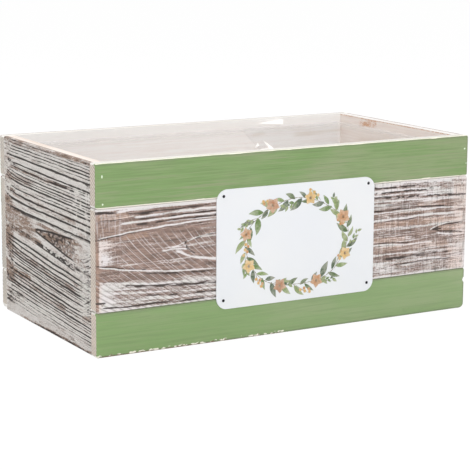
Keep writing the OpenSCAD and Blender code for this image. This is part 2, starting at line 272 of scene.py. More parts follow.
# Streaks of the front middle board: points as run and height above the base, half width
# and strength, and a fade in mm where it isn't the usual one. Dark ones are stained grain,
# pale ones are wash left along the grain, and warm ones are browner wood or pinker wash.
MIDDLE_DARK = (
    ((0, 112.6, 10, 112, 17, 112), 1.3, 1.0),
    ((28, 109.3, 60, 110, 105, 111.5), 1.3, 0.8),
    ((0, 106.6, 15, 106, 32, 106.8), 0.5, 0.6),
    ((38, 104.8, 60, 105.4, 105, 106.6), 0.7, 0.95),
    ((36, 100.8, 60, 101.6, 105, 102.6), 1.3, 0.75),
    ((0, 91.3, 15, 93.2, 30, 95), 0.4, 0.95),
    ((30, 94.6, 60, 96.6, 105, 97.9), 0.5, 0.6),
    ((50, 85, 65, 85.5, 78, 88, 92, 91, 105, 92.5), 2.8, 0.42),
    ((48, 76.5, 62, 76.2, 74, 72, 86, 67.5, 105, 63.5), 2.2, 0.45),
    ((76.4, 84, 77.2, 81.5, 78.2, 79.4), 1.7, 1.0, 0.5),
    ((78, 79, 80.5, 76.6, 84.5, 74), 0.8, 1.0, 0.8),
    ((77, 83.8, 84, 85, 94, 87.2, 105, 88.2), 0.55, 0.7, 2),
    ((0, 72, 20, 68.8, 40, 65.6), 0.45, 0.85),
    ((40, 62.6, 60, 60.8, 80, 59.2, 105, 58.3), 1.1, 0.75),
    ((26, 54, 48, 51.6, 70, 50.4, 90, 49.6, 105, 48.6), 1.5, 0.8),
    ((44, 44.8, 62, 43.2, 82, 43, 105, 41.8), 1.2, 0.75),
    ((8, 38.4, 26, 37.4, 50, 38, 80, 37, 105, 37), 0.9, 0.85),
    ((0, 43, 6, 42.6), 1.0, 0.8),
    ((253, 111.3, 275, 110.9, 305, 111), 1.0, 0.8),
    ((253, 107, 275, 107, 305, 106.7), 0.8, 0.9),
    ((253, 103, 275, 102.6, 305, 101.4, 332, 100.5), 1.5, 0.75),
    ((253, 95.8, 290, 95.6, 330, 95, 345, 94.2), 2.8, 0.42),
    ((253, 91.9, 290, 92, 325, 91.4), 0.9, 0.8),
    ((253, 87, 290, 87, 320, 87.2, 345, 87), 1.2, 0.5),
    ((253, 82.2, 272, 82.4, 290, 83.2, 312, 83.5), 0.4, 0.9),
    ((316, 71.9, 321, 73.4, 328, 74.7, 346, 75.9), 0.6, 1.0, 1),
    ((316, 71.5, 321, 69.9, 328, 68.6, 346, 67.1), 0.55, 1.0, 1),
    ((316, 71.7, 322, 71.7), 1.2, 0.7),
    ((253, 64.8, 275, 64.3, 292, 63), 0.45, 0.9),
    ((253, 73.5, 285, 73, 312, 72.4), 2.4, 0.35),
    ((253, 58.8, 290, 59.2, 332, 59), 1.6, 0.4),
    ((266, 50.2, 300, 51.2, 330, 51), 1.7, 0.7),
    ((278, 45, 300, 45.7, 332, 45.5), 0.5, 0.85),
    ((276, 40.6, 322, 41), 2.2, 0.42),
    ((318, 36.6, 346, 36.1), 0.5, 0.9),
    ((322, 114.4, 336, 113.8, 350, 114.4), 0.8, 0.9),
)
MIDDLE_PALE = (
    ((19, 112, 30, 113.2, 60, 113.7, 105, 113.8, 180, 114, 253, 113.6, 300, 113.8, 332, 113), 1.5, 1.0),
    ((35, 106.7, 60, 107.7, 80, 108.7, 105, 109.1, 180, 109.4, 253, 109, 320, 107.6), 1.1, 1.0),
    ((24, 102.7, 45, 103.5, 70, 104.2, 105, 104.5, 180, 105, 253, 105, 290, 105, 340, 103.8), 1.0, 1.0),
    ((4, 92.6, 30, 95.7, 60, 98, 85, 99.1, 105, 99.2, 180, 99.5), 0.8, 1.0),
    ((62, 101.1, 105, 101.1), 0.5, 0.8),
    ((253, 99.3, 275, 99.6, 300, 99, 324, 98.4), 0.6, 1.0),
    ((60, 78.4, 72, 82, 80, 84.6, 90, 87, 105, 88.5, 180, 90), 0.6, 0.95),
    ((58, 78.4, 66, 79, 78, 78.2), 0.9, 0.85),
    ((70, 77, 80, 72.2, 90, 69.9, 105, 67.6), 1.3, 0.95),
    ((2, 71, 20, 67.6, 40, 64.7, 60, 62.4, 80, 61, 105, 60.2, 180, 60), 0.75, 1.0),
    ((10, 58, 30, 55.8, 50, 53.4, 70, 52.6, 105, 51.3, 180, 51), 1.0, 0.85),
    ((5, 49.6, 30, 48.2, 60, 46.2, 80, 45, 105, 44.5), 1.0, 0.85),
    ((28, 42.4, 60, 41, 105, 39.9), 1.2, 0.8),
    ((2, 55, 9, 54), 5.5, 0.6),
    ((253, 90.1, 290, 90.3, 320, 89.8, 345, 88.6), 0.7, 1.0),
    ((253, 84.1, 270, 84, 285, 84.3, 300, 85.3, 320, 85.1, 345, 84.5), 0.95, 1.0),
    ((261, 88, 268, 86.6), 1.0, 0.8),
    ((253, 76.6, 300, 76.4, 345, 78), 0.8, 0.6),
    ((253, 63.1, 270, 62.9, 290, 61.8, 312, 61), 0.85, 0.9),
    ((253, 54.8, 290, 54, 332, 53.2), 0.8, 0.7),
    ((253, 47.4, 290, 47.4, 322, 47.1), 1.0, 0.7),
    ((258, 44, 275, 43), 2.6, 0.6),
    ((313, 71.9, 319, 74.6, 328, 76.4, 346, 77.6), 0.7, 0.95, 1),
    ((319, 68.6, 328, 66.6, 346, 65.2), 0.7, 0.95, 2),
    ((330, 61, 350, 58), 5, 0.5),
    ((343, 100, 350, 100), 9, 0.5),
    ((0, 36.2, 120, 35.6, 350, 35.8), 0.6, 0.7),
)
MIDDLE_WARM = (
    ((0, 108.5, 14, 108.5, 26, 109), 2.6, 0.9),
    ((0, 100, 18, 101), 5, 0.45),
    ((0, 87, 14, 87), 6, 0.5),
    ((24, 92, 42, 93), 2.2, 0.8),
    ((253, 79.6, 300, 80.2, 346, 79.8), 2.6, 0.95),
    ((253, 67.2, 285, 66.6), 2.2, 0.8),
    ((253, 59, 290, 59, 330, 58.6), 2.6, 0.7),
    ((321, 72, 346, 71.6), 2.6, 1.0, 2),
    ((300, 94.5, 346, 93.5), 2.5, 0.7),
    ((253, 87.6, 300, 87.6, 346, 87), 1.2, 0.6),
    ((334, 42, 345, 42), 6, 0.7),
    ((338, 84, 350, 84), 30, 0.6),
    ((330, 52, 345, 52), 3, 0.6),
    ((0, 60, 1.2, 60), 30, 0.7),
)


def middle_board_look(run, height):
    """Front middle board: the streaks of the tables on a gently wavy grain, with faint
    rings between them and two pointed figures that open to the right."""
    look = Look(run)
    wavy = height + 0.4 * noise(run, height, 26, 9, 11) + 0.22 * noise(run, height, 7, 3, 12)
    broken = cloudy(run, wavy, 9, 1.6, 13)
    ragged = 1 + 0.45 * noise(run, wavy, 12, 1.1, 16) + 0.3 * noise(run, wavy, 4, 0.8, 17)
    worn = smooth(-0.55, 0.1, noise(run, wavy, 6, 1.3, 18) + 0.5 * noise(run, wavy, 20, 3, 19))
    look.dark = strokes(run, wavy, MIDDLE_DARK, 0.78 * ragged)
    look.dark = look.dark * (0.75 + 0.5 * broken) * (0.55 + 0.45 * worn)
    look.wash = strokes(run, wavy, MIDDLE_PALE, 0.45 + 0.4 * ragged)
    look.wash = look.wash * (0.85 + 0.3 * broken) * (0.72 + 0.28 * worn)
    look.warm = strokes(run, wavy, MIDDLE_WARM) * (0.6 + 0.5 * broken)

    # Faint rings, flattened towards the middle of the board, and the wash left in them
    flow = np.interp(run, (0, 60, 105, 180, 253, 350), (0, 1.0, 1.2, 1.0, 0.6, 0))
    rings = wavy - flow * (wavy - 75) * 0.12
    fine = cloudy(run, rings, 55, 1.15, 14)
    hair = smooth(0.6, 0.95, cloudy(run, rings, 24, 0.75, 20))
    patchy = cloudy(run, wavy, 34, 5, 15)
    low = 1 - smooth(48, 64, height)
    far = smooth(240, 260, run)
    ground = 0.06 + 0.3 * fine * (0.4 + patchy) + 0.32 * hair + 0.26 * low * (1 - 0.6 * far) + 0.15 * far

    # Two plain places at the left end, and a browner one beside the upper of them
    plain = (1 - smooth(2, 24, run)) * between(70, 74, 89, 92, height)
    blotch = (1 - smooth(2, 26, run + 6 * noise(run, height, 9, 7, 22))) * (1 - smooth(50, 62, height))
    plain = np.maximum(plain, 0.8 * blotch)
    browner = np.exp(-((run - 42) / 17) ** 2) * between(70, 74, 90, 94, height)
    ground = ground + 0.56 * plain + 0.22 * smooth(325, 346, run) + 0.08 * far * smooth(90, 95, height)
    look.wash = np.maximum(look.wash, ground) * (1 - 0.8 * (1 - smooth(1.2, 3.2, run))) - 0.07 * browner
    between_rings = 0.42 * (1 - fine) * (0.4 + patchy) * (1 - 0.75 * plain)
    look.dark = np.maximum(look.dark, between_rings + 0.05 * browner)
    dots = smooth(-0.25, 0.25, noise(run, height, 2.1, 1.2, 23))
    look.dark = np.clip(look.dark * (1 + far * smooth(96, 100, height) * (0.9 * dots - 0.35)), 0, 1)

    # Bright wash along the upper and lower edge
    edge = np.minimum(height - MIDDLE_LOW, MIDDLE_HIGH - height)
    bright = 1 - smooth(0.9, 1.7, edge + 0.3 * noise(run, height, 14, 3, 21))
    look.wash = np.maximum(look.wash, bright)
    look.dark = look.dark * (1 - bright)
    look.saw = (0.3 + 0.4 * patchy + 0.3 * broken) * (1 - 0.6 * plain)
    look.depth = 0.45 * look.dark + 0.1 * fine
    dimples(look, run, height, (BRAD_INSET, WIDTH - BRAD_INSET), MIDDLE_BRADS, 0.37, 0.25)
    return look


# Grooves of the side panels: height where each crosses the middle of the panel, half
# width and strength. The six of strength 1.1 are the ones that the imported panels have.
PANEL_GROOVES = (
    (147.4, 0.35, 0.6), (145.2, 0.35, 0.65), (142.5, 0.45, 0.9), (140.0, 0.45, 0.95), (137.4, 0.4, 0.6),
    (134.1, 0.75, 1.1), (128.0, 0.65, 1.05), (126.0, 0.35, 0.6), (124.2, 0.8, 0.72), (121.6, 0.4, 0.65),
    (119.0, 0.6, 1.0), (116.4, 0.45, 0.9), (114.4, 0.4, 0.85), (112.2, 0.7, 1.1), (109.3, 0.4, 0.65),
    (106.6, 0.6, 1.05), (104.4, 0.3, 0.3), (101.5, 0.75, 1.05), (99.0, 0.3, 0.25), (96.4, 0.75, 1.05),
    (93.2, 0.3, 0.3), (90.2, 0.85, 1.1), (88.8, 0.6, 0.5), (67.7, 1.4, 1.1), (63.6, 0.3, 0.25),
    (59.4, 0.8, 1.05), (57.3, 0.3, 0.3), (55.2, 0.7, 1.05), (53.4, 0.3, 0.35), (51.2, 0.6, 1.0),
    (48.7, 0.45, 0.85), (46.2, 0.75, 1.1), (44.0, 0.45, 0.9), (42.0, 0.42, 0.85), (39.0, 0.7, 1.05),
    (36.9, 0.4, 0.6), (35.2, 0.3, 0.35), (33.2, 0.7, 1.05), (30.2, 0.65, 1.05), (27.6, 0.5, 0.85),
    (24.3, 0.7, 1.1), (21.9, 0.5, 0.95), (19.6, 0.45, 0.85), (16.4, 0.5, 0.9), (14.2, 0.35, 0.45),
    (12.2, 0.4, 0.65), (9.6, 0.36, 0.5), (7.2, 0.34, 0.4),
)
# Slope of the panels' grain, falling towards the front, at some heights
PANEL_SLOPE_HEIGHTS = (0, 8, 25, 45, 58, 68, 76, 81, 90, 104, 125, 150)
PANEL_SLOPES = (-0.01, -0.03, -0.057, -0.071, -0.08, -0.088, -0.1, 0.0, -0.02, -0.023, -0.024, -0.022)
PANEL_MIDDLE = 105.0

# Run at which the pointed figure begins, and height of the groove that it splits off
FIGURE_APEX = 70
SPLIT_GROOVE = 67.7

# Brown places without wash and dark stains of a side panel: points as run and height, half
# width and strength, and a fade in mm where it isn't the usual one
PANEL_BROWN = (
    ((12, 84, 26, 80, 44, 75), 5, 0.8, 12), ((18, 90, 34, 86, 58, 82), 7, 0.7, 22),
    ((26, 76, 45, 73.6, 78, 70.8), 2.4, 1.0, 14),
    ((28, 38, 60, 37), 2.6, 0.85), ((12, 97, 24, 96), 3.2, 0.8),
    ((12, 148.8, 120, 148.6), 1.7, 0.5, 30), ((130, 148.9, 178, 149), 1.7, 0.72, 30),
    ((30, 146.4, 90, 146.2), 1.0, 0.3), ((18, 30, 36, 27), 2.5, 0.6), ((166, 25, 178, 28), 3.4, 0.4),
    ((92, 79, 130, 79.6), 1.7, 1.0), ((24, 107, 30, 106), 2, 0.6), ((12, 64, 24, 56), 8, 0.8),
    ((10, 40, 24, 36), 8, 0.6), ((12, 72, 24, 68), 5, 0.8), ((78, 86.5, 120, 84.5, 150, 83), 1.6, 0.6),
    ((30, 104, 90, 101.5, 150, 99), 2.2, 0.4), ((30, 56, 90, 50, 150, 45), 2.4, 0.35),
    ((20, 118, 60, 117.5), 3, 0.35, 15), ((30, 126, 90, 124.6, 132, 124.2), 1.3, 0.6, 12),
    ((64, 80, 80, 80.4), 2.2, 0.7, 6), ((60, 33, 130, 26), 3, 0.35), ((50, 1, 178, 1.2), 1.6, 0.8),
    ((12, 90, 30, 84, 60, 76), 9, 0.45),
)
PANEL_STAINS = (
    ((14, 17.4, 26, 17), 0.6, 0.8), ((13, 13.8, 28, 13.4), 0.7, 0.9), ((13, 10.6, 20, 10.2), 0.9, 0.95),
    ((32, 18.6, 60, 17.8), 0.5, 0.6), ((20, 131, 33, 130), 2.2, 0.7), ((14, 108, 34, 104), 2.6, 0.5),
    ((24, 42, 30, 26), 5, 0.5), ((173, 133, 178, 132), 2.4, 0.7), ((14, 50, 22, 44), 5, 0.4),
    ((60, 1.0, 110, 1.2, 178, 0.9), 1.0, 0.85), ((24, 63.6, 60, 64.6, 90, 62), 1.4, 0.5),
    ((12, 78, 26, 70), 4, 0.35), ((14, 30, 22, 26), 4, 0.4),
    ((124, 148.8, 150, 148.2, 178, 148.6), 0.6, 0.45),
)


def groove_field(level, run, table, seed):
    """Depth from 0 to 1 of worn soft grain: a bump for each (level, half width,
    strength), whose strength drifts and breaks up along the board."""
    field = np.zeros_like(level)
    drift = noise(run, level, 30, 1.7, seed)
    broken = noise(run, level, 6, 1.1, seed + 1)
    for place, half_width, strength in table:
        width = 1.1 * half_width * (1 + 0.3 * drift)
        bump = np.exp(-((level - place) / width) ** 2)
        field = np.maximum(field, bump * strength * (1.0 + 0.2 * drift + 0.34 * broken))
    return np.clip(field, 0, 1.15)


def pointed_figure(run, wavy, seed):
    """The side panels' pointed figure, a wedge between two edges that part from its apex:
    how far they are apart, what lies inside, the edges and the red lines between them."""
    reach = np.clip(run - FIGURE_APEX, 0, None)
    upper = 80.3 + 0.0524 * reach + 1.3 * (1 - np.exp(-reach / 12))
    lower = 79.8 - 0.147 * reach
    inside = smooth(-0.5, 0.5, wavy - lower) * smooth(-0.5, 0.5, upper - wavy) * smooth(0, 5, reach)
    rim = np.exp(-((wavy - upper) / 0.9) ** 2) + np.exp(-((wavy - lower) / 0.9) ** 2)
    red_line = smooth(0.0, 0.6, noise(run, wavy, 20, 1.1, seed + 12)) * smooth(84, 96, run)
    return smooth(0, 8, reach), inside, rim, red_line


def beaded_band(grooves, run, height, wavy, level, seed):
    """Lays a band of dark beads over the grooves of a side panel, along the one that the
    pointed figure splits off, and a thin groove along its lower edge."""
    centre = np.interp(run, (58, 100, 152), (71.4, 68.4, 62.8))
    half = np.interp(run, (60, 150), (1.3, 2.3))
    band = np.exp(-((wavy - centre) / half) ** 4)
    beads = 0.42 + 0.55 * smooth(0.4, 0.6, cloudy(run, height, 2.8, 1.1, seed + 19))
    ahead = between(60, 84, 142, 160, run)
    split = np.exp(-((level - SPLIT_GROOVE) / 2.2) ** 2)
    grooves = grooves * (1 - 0.7 * (1 - smooth(70, 88, run)) * split)
    grooves = grooves * (1 - 0.95 * ahead * np.maximum(band, split))
    grooves = np.maximum(grooves, 0.8 * beads * band * ahead)
    return np.maximum(grooves, 0.85 * ahead * np.exp(-((wavy - centre + half) / 0.6) ** 2))


def brushed_panel_look(run, height, seed):
    """A side panel, with run from its rear edge: straight grain that falls towards the
    front, split by a pointed figure that opens to the front, deeply brushed. The seed
    moves everything but the main grooves and the figure. Saw is a brighter rim beside a
    groove, a painted highlight of its edge."""
    look = Look(run)
    wavy = height + 0.35 * noise(run, height, 34, 14, seed) + 0.2 * noise(run, height, 9, 5, seed + 1)
    slope = np.interp(wavy, PANEL_SLOPE_HEIGHTS, PANEL_SLOPES)
    fan = between(92, 104, 122, 134, wavy) + 0.8 * between(40, 50, 60, 68, wavy)
    bent = 5.5 * fan * np.exp(-np.clip(run - 10, 0, None) / 14)
    level = wavy - slope * (run - PANEL_MIDDLE) - bent
    grooves = groove_field(level, run, PANEL_GROOVES, seed + 2)
    # Painted highlight: a brighter rim beside each groove
    look.saw = smooth(0.01, 0.12, grooves)
    crumbs = cloudy(run, height, 2.4, 1.3, seed + 10)
    look.saw = look.saw * (0.35 + 0.8 * crumbs)
    chatter = smooth(120, 165, run) * smooth(0.0, 0.5, noise(run, level, 2.5, 5.0, seed + 15))
    chatter = chatter * between(86, 93, 126, 131, height)
    grooves = grooves * (1 - 0.6 * chatter) * (0.88 + 0.26 * crumbs)
    threads = smooth(0.05, 0.9, noise(run, level, 20, 0.62, seed + 11))
    thread_share = 0.26 + 0.06 * smooth(88, 98, height)
    grooves = np.maximum(grooves, thread_share * threads)

    # The pointed figure and the band of beads below it, over the grooves
    apart, inside, rim, red_line = pointed_figure(run, wavy, seed)
    fading = 1 - smooth(138, 172, run + 8 * noise(run, height, 7, 5, seed + 14))
    within = inside * (0.36 - 0.16 * red_line + 0.6 * (crumbs - 0.5)) * fading
    grooves = np.maximum(grooves * (1 - inside * fading), within)
    grooves = np.maximum(grooves, 0.95 * rim * apart * (1 - smooth(136, 160, run)))
    grooves = beaded_band(grooves, run, height, wavy, level, seed)

    # Brushing fades at the rear and low down; short slanted strokes cross the front end
    brushed = smooth(8, 34, run + 7 * noise(run, height, 20, 9, seed + 6) + 14 * (crumbs - 0.5))
    front_end = smooth(150, 172, run + 5 * noise(run, height, 15, 12, seed + 7))
    front_end = front_end * between(16, 30, 74, 90, height)
    foot = smooth(2.5, 8, height)
    dashes = smooth(-0.1, 0.8, noise(run, height - 0.3 * (run - 160), 6, 0.7, seed + 8))
    grooves = grooves * (0.25 + 0.75 * brushed) * (1 - 0.6 * front_end) * (0.25 + 0.75 * foot)
    specks = smooth(0.1, 0.5, noise(run, height, 1.9, 1.2, seed + 17))
    coarse = np.exp(-((height - 74) / 26) ** 2) * smooth(112, 134, run) * (1 - inside)
    grooves = np.maximum(grooves, 0.5 * coarse * specks)
    grooves = np.maximum(grooves, front_end * foot * dashes * 0.55)

    # Brown places without wash, dark stains, and the tone of the wash between the grooves
    mottle = cloudy(run, level, 9, 1.5, seed + 9)
    rear = 1 - smooth(14, 36, run + 7 * noise(run, height, 11, 9, seed + 13))
    streaky = cloudy(run, level, 14, 0.9, seed + 16)
    hairs = cloudy(run, level, 8, 0.6, seed + 18)
    look.warm = strokes(run, wavy, PANEL_BROWN) * (0.4 + 0.5 * mottle + 0.5 * streaky)
    look.warm = look.warm + 0.9 * inside * red_line * fading
    stain = strokes(run, wavy, PANEL_STAINS) * (0.3 + 0.6 * mottle + 0.9 * (crumbs - 0.5))
    rough_rear = rear * smooth(0.45, 0.8, crumbs * 0.7 + mottle * 0.4)
    shade = 0.13 * (1 - smooth(9, 18, height)) + 0.07 * hairs + 0.12 * smooth(166, 178, run)
    look.dark = np.maximum(1.15 * grooves, stain) + 0.2 * rough_rear + 0.2 * look.warm * crumbs
    look.dark = np.clip(look.dark + shade * (1 - look.dark), 0, 1)
    open_wood = inside * fading * (1 - 0.9 * specks)
    look.warm = look.warm * (1 - 0.6 * specks * smooth(0.1, 0.6, look.warm))
    blush = 0.06 * between(22, 32, 56, 64, height) * (1 - front_end)
    look.warm = np.maximum(look.warm, blush * (0.5 + streaky))
    bare = 0.9 * look.warm + 0.25 * rear * crumbs + 0.7 * open_wood + 0.5 * mottle * streaky
    look.wash = np.clip(0.87 - 0.16 * hairs - bare, 0, 1)
    look.depth = 0.72 * np.clip(grooves, 0, 1) + 0.08 * mottle + 0.08 * rear * crumbs
    dimples(look, run, height, FLOOR_BRADS_SIDE, (FLOOR_BRAD_HEIGHT,), 0.25, 0.2)
    return look


def sawn_grain_look(run, height, seed, tilt, brown, brush):
    """A board that the photograph doesn't show: rings that run out slowly by tilt, worn
    to grooves by brush, with brown as the share left without wash."""
    look = Look(run)
    dice = np.random.default_rng(seed)
    wavy = height + 0.8 * noise(run, height, 60, 22, seed) + 0.25 * noise(run, height, 11, 5, seed + 1)
    heart = dice.uniform(40, 110)
    level = wavy - tilt * (run - WIDTH / 2) * np.tanh((wavy - heart) / 30)
    places = np.cumsum(dice.uniform(1.7, 4.4, 80))
    table = [(place, dice.uniform(0.35, 0.8), dice.uniform(0.35, 1)) for place in places]
    grooves = groove_field(level, run, table, seed + 2) * brush
    patchy = cloudy(run, wavy, 48, 7, seed + 5)
    mottle = cloudy(run, level, 14, 1.6, seed + 6)
    look.dark = np.clip(grooves, 0, 1)
    look.warm = smooth(0.62, 0.95, patchy) * 0.8
    look.wash = np.clip(1 - brown * (0.45 + 0.8 * mottle * patchy), 0, 1)
    look.saw = 0.3 * patchy
    look.depth = 0.9 * grooves + 0.1 * mottle
    return look


def painted_look(run, height, low, high, seed, flecks=()):
    """A painted board: brush marks barely deeper than a hair, paint rubbed off the upper
    and lower arris, and flakes lost along the bottom edge of the box. Here dark is the
    share of bare wood, wash is the dirt beside it and a painted shade along the right
    end, warm is where that wood is brown, and saw is paint flicked off the brads, drawn
    pale green-white as a painted highlight of the bare heads. Flecks are (run, height,
    half length, half height)."""
    look = Look(run)
    ragged = 0.3 * noise(run, height, 9, 2, seed) + 0.15 * noise(run, height, 3, 1, seed + 1)
    top_gap, low_gap = high - height, height - low
    if low > 0:
        bare = 0.1 if high == HEIGHT else 1.3
        rubbed = 1 - smooth(bare, bare + 0.4, top_gap + 0.5 * ragged)
        look.dark = np.maximum(rubbed, 1 - smooth(0.95, 1.35, low_gap + ragged))
    else:
        lumps = noise(run, height, 2.6, 1.2, seed + 2) + 0.6 * noise(run, height, 1.3, 0.8, seed + 3)
        share = np.interp(run, (0, 8, 88, 100, 165, 180, 350), (0.5, 1, 1, 0.55, 0.5, 0, 0))
        belt = between(0.3, 0.8, 1.6, 3.0, height)
        chips = smooth(0.0, 0.3, lumps + 0.75 * belt + 0.5 * share - 1.15) * belt * smooth(0, 0.3, share)
        stain = (1 - smooth(0.3, 1.3, height + 0.5 * lumps)) * (0.25 + 0.75 * share)
        brown_chips = smooth(0.2, 0.5, noise(run, height, 2.4, 1.3, seed + 4)) * chips
        look.dark = np.maximum(0.9 * stain, chips)
        look.depth = 0.35 * chips
        look.warm = np.maximum(smooth(0.3, 0.5, stain), brown_chips)
    for at_run, at_height, half_run, half_height in flecks:
        away = np.hypot((run - at_run) / half_run, (height - at_height) / half_height)
        look.saw = np.maximum(look.saw, 1 - smooth(0.7, 1.3, away))
    look.wash = 1 - smooth(1.0, 2.4, np.minimum(top_gap, low_gap) + ragged)
    # Painted shade: the last few millimetres of the right end are darkened as if that end lay in shadow
    look.wash = np.maximum(look.wash, smooth(WIDTH - 2.6, WIDTH - 1.2, run))
    streak = noise(run, height, 90, 0.9, seed + 5) + 0.5 * noise(run, height, 30, 0.5, seed + 6)
    look.depth = look.depth + 0.05 + 0.035 * streak
    return look


def end_chip(run, depth, height):
    """Run after the scoop at the right end of the lower front board: the end is drawn in
    by the part of a circle that lies past it, less and less towards the inner face."""
    circle = np.sqrt(np.clip(CHIP_RADIUS ** 2 - (height - CHIP_HEIGHT) ** 2, 0, None))
    scoop = np.clip(circle - (CHIP_RADIUS - CHIP_DEPTH) - 0.466 * depth, 0, None)
    return np.minimum(run, WIDTH - scoop)


def board_profile(face_points):
    """Cross-section of a board as a closed loop, upwards on the outer face and down on
    the inner one. Each point is four shares: height between the lower and upper edge,
    edge radii added to the height, edge radii added to the depth, and depth between the
    outer and inner face. The fifth column is how much of the carving it takes, and the
    sixth says face 0, long edge 1 or inside 2."""
    rise = np.linspace(0, 1, face_points)
    turn = np.radians((22.5, 45, 67.5, 90))
    back = turn[2::-1]
    flat = np.linspace(0, 1, 6)[1:]
    inner = np.concatenate((0.004 + 0.0085 * np.arange(9), np.linspace(0.08, 1, 16)[1:]))
    still, full = np.zeros, np.ones
    parts = [
        (rise, 1 - 2 * rise, still(face_points), still(face_points), full(face_points), still(face_points)),
        (full(4), np.sin(turn) - 1, 1 - np.cos(turn), still(4), np.cos(turn) ** 2, still(4)),
        (full(5), still(5), full(5), flat, still(5), full(5)),
        (1 - inner, still(24), full(24), full(24), still(24), 2 * full(24)),
        (still(5), still(5), full(5), 1 - flat, still(5), full(5)),
        (still(3), 1 - np.sin(back), 1 - np.cos(back), still(3), np.cos(back) ** 2, still(3)),
    ]
    return np.concatenate([np.stack(part, 1) for part in parts])


# How far from both ends of a board its even stations begin
END_STRETCH = 8.4


def stations(start, stop, step):
    """Places along a board: close together near both ends, where edges turn and brads
    sit, and step apart between."""
    near = np.array((
        0, 0.12, 0.3, 0.6, 0.95, 1.35, 1.8, 2.3, 2.8, 3.3, 3.8, 4.2, 4.6, 5.0, 5.4, 5.8, 6.2, 6.8, 7.5))
    first, last = start + END_STRETCH, stop - END_STRETCH
    middle = np.linspace(first, last, int((last - first) / step))
    return np.concatenate((start + near, middle, stop - near[::-1]))


def drawn_in(distance, radius):
    """How far a rounded corner has drawn in at a distance from the end: the sagitta of
    a quarter circle."""
    left = np.clip(radius - distance, 0, radius)
    return radius - np.sqrt(np.clip(radius ** 2 - left ** 2, 0, None))


def grid_faces(number, closed=False):
    """Four-cornered faces between neighbours in a grid of point numbers, over its last
    two axes; closed joins the last column to the first one."""
    if closed:
        number = np.concatenate((number, number[..., :1]), -1)
    this_row, next_row = number[..., :-1, :], number[..., 1:, :]
    return np.stack((this_row[..., :-1], next_row[..., :-1], next_row[..., 1:], this_row[..., 1:]), -1)


def joined(skins):
    """One skin from several, each given as rows of points, arrays of faces and rows of
    marks: the points stand one after another, and the faces' numbers move up with them."""
    faces, total = [], 0
    for points, blocks, _ in skins:
        for block in blocks:
            faces += (block + total).tolist()
        total += len(points)
    points, _, marks = zip(*skins)
    return np.concatenate(points), faces, np.concatenate(marks)


def colour_points(piece, name, colours):
    """Gives the piece a colour attribute from rows of four numbers, one row a point."""
    layer = piece.data.attributes.new(name, "FLOAT_COLOR", "POINT")
    layer.data.foreach_set("color", colours.ravel())


# Rings that close the ends of a board, as shares of its cross-section
END_RINGS = np.array((0.8, 0.55, 0.3))

# Heights between which the inner faces of the long walls turn bleached towards the rim
BLEACHED = (141, 145)


def with_ends(values, level):
    """One coordinate of a board with the rings that close its ends: the first and last
    row drawn in towards the middle, or repeated where level says that an end is flat.
    Returns the rows and the two middles."""
    count = len(END_RINGS)
    if level:
        return np.pad(values, ((count, count), (0, 0)), "edge"), values[[0, -1]].mean(1)
    rows = values[[0, -1]]
    middles = (rows.max(1) + rows.min(1)) / 2
    before, after = (
        middle + (row - middle) * END_RINGS[:, None] for middle, row in zip(middles, rows))
    return np.concatenate((before[::-1], values, after)), middles


def board_piece(name, wall, span, heights, carve, materials, corners, ends_eased=True, chip=None,
                knots=(), streaks=(), finer=1.0):
    """A board as one closed skin: its cross-section is set at every station of its span,
    carved by what carve(run, height) says of the outer face, and both ends close on a
    point in the middle of the end grain. Corners are the radii at the start's lower and
    upper end and the stop's lower and upper end. Knots and tan streaks are on the inner
    face, and finer is how much closer the mesh is across the grain, and wider along it."""
    settings = bpy.context.scene.planter_boards
    low, high = heights
    runs = stations(span[0], span[1], settings.run_step * finer)
    profile = board_profile(max(int((high - low) / settings.rise_step * finer), 12))
    share, rise, sink, inner, carved, kind = profile.T
    first, last = runs - span[0], span[1] - runs
    floor = low + np.maximum(drawn_in(first, corners[0]), drawn_in(last, corners[2]))
    ceiling = high - np.maximum(drawn_in(first, corners[1]), drawn_in(last, corners[3]))
    front = np.maximum(drawn_in(first, EASED), drawn_in(last, EASED)) * ends_eased
    height = floor[:, None] * (1 - share) + ceiling[:, None] * share + EASED * rise
    depth = (front[:, None] + EASED * sink) * (1 - inner) + WALL * inner
    run = np.repeat(runs[:, None], len(profile), 1)
    look = carve(run, height)
    depth = depth + carved * look.depth * settings.groove_depth
    if chip:
        run = chip(run, depth, height)

    rows, middles = zip(with_ends(run, True), with_ends(depth, False), with_ends(height, False))
    grid, poles = wall.place(*rows), wall.place(*middles)
    count, around = grid.shape[:2]
    index = np.arange(count * around).reshape(count, around)
    beside = np.roll(index, -1, 1)
    faces = grid_faces(index, closed=True).reshape(-1, 4).tolist()
    for pole, before, after in ((0, index[0], beside[0]), (1, beside[-1], index[-1])):
        faces += np.stack((before, after, np.full(around, count * around + pole)), -1).tolist()
    rings = len(END_RINGS)
    slots = np.repeat(kind[None], count - 1, 0)
    slots[:rings] = slots[-rings:] = END_SLOT
    slots = np.concatenate((slots.ravel(), np.full(2 * around, END_SLOT))).astype(int)
    piece = new_piece(name, np.concatenate((grid.reshape(-1, 3), poles)), faces, materials, slots)

    marks = np.stack((look.dark, look.wash, look.warm, look.saw), -1)
    marks[:, kind > 0] = 0
    inside = kind == INNER_SLOT
    run, height = run[:, inside], height[:, inside]
    marks[:, inside, 0] = strokes(run, height, streaks)
    marks[:, inside, 1] = smooth(*BLEACHED, height) * abs(wall.run[0])
    marks[:, inside, 2] = strokes(run, height, knots)
    marks = np.pad(marks, ((rings, rings), (0, 0), (0, 0)), "edge").reshape(-1, 4)
    colour_points(piece, "grain", np.clip(np.concatenate((marks, np.zeros((2, 4)))), 0, 1))
    return piece


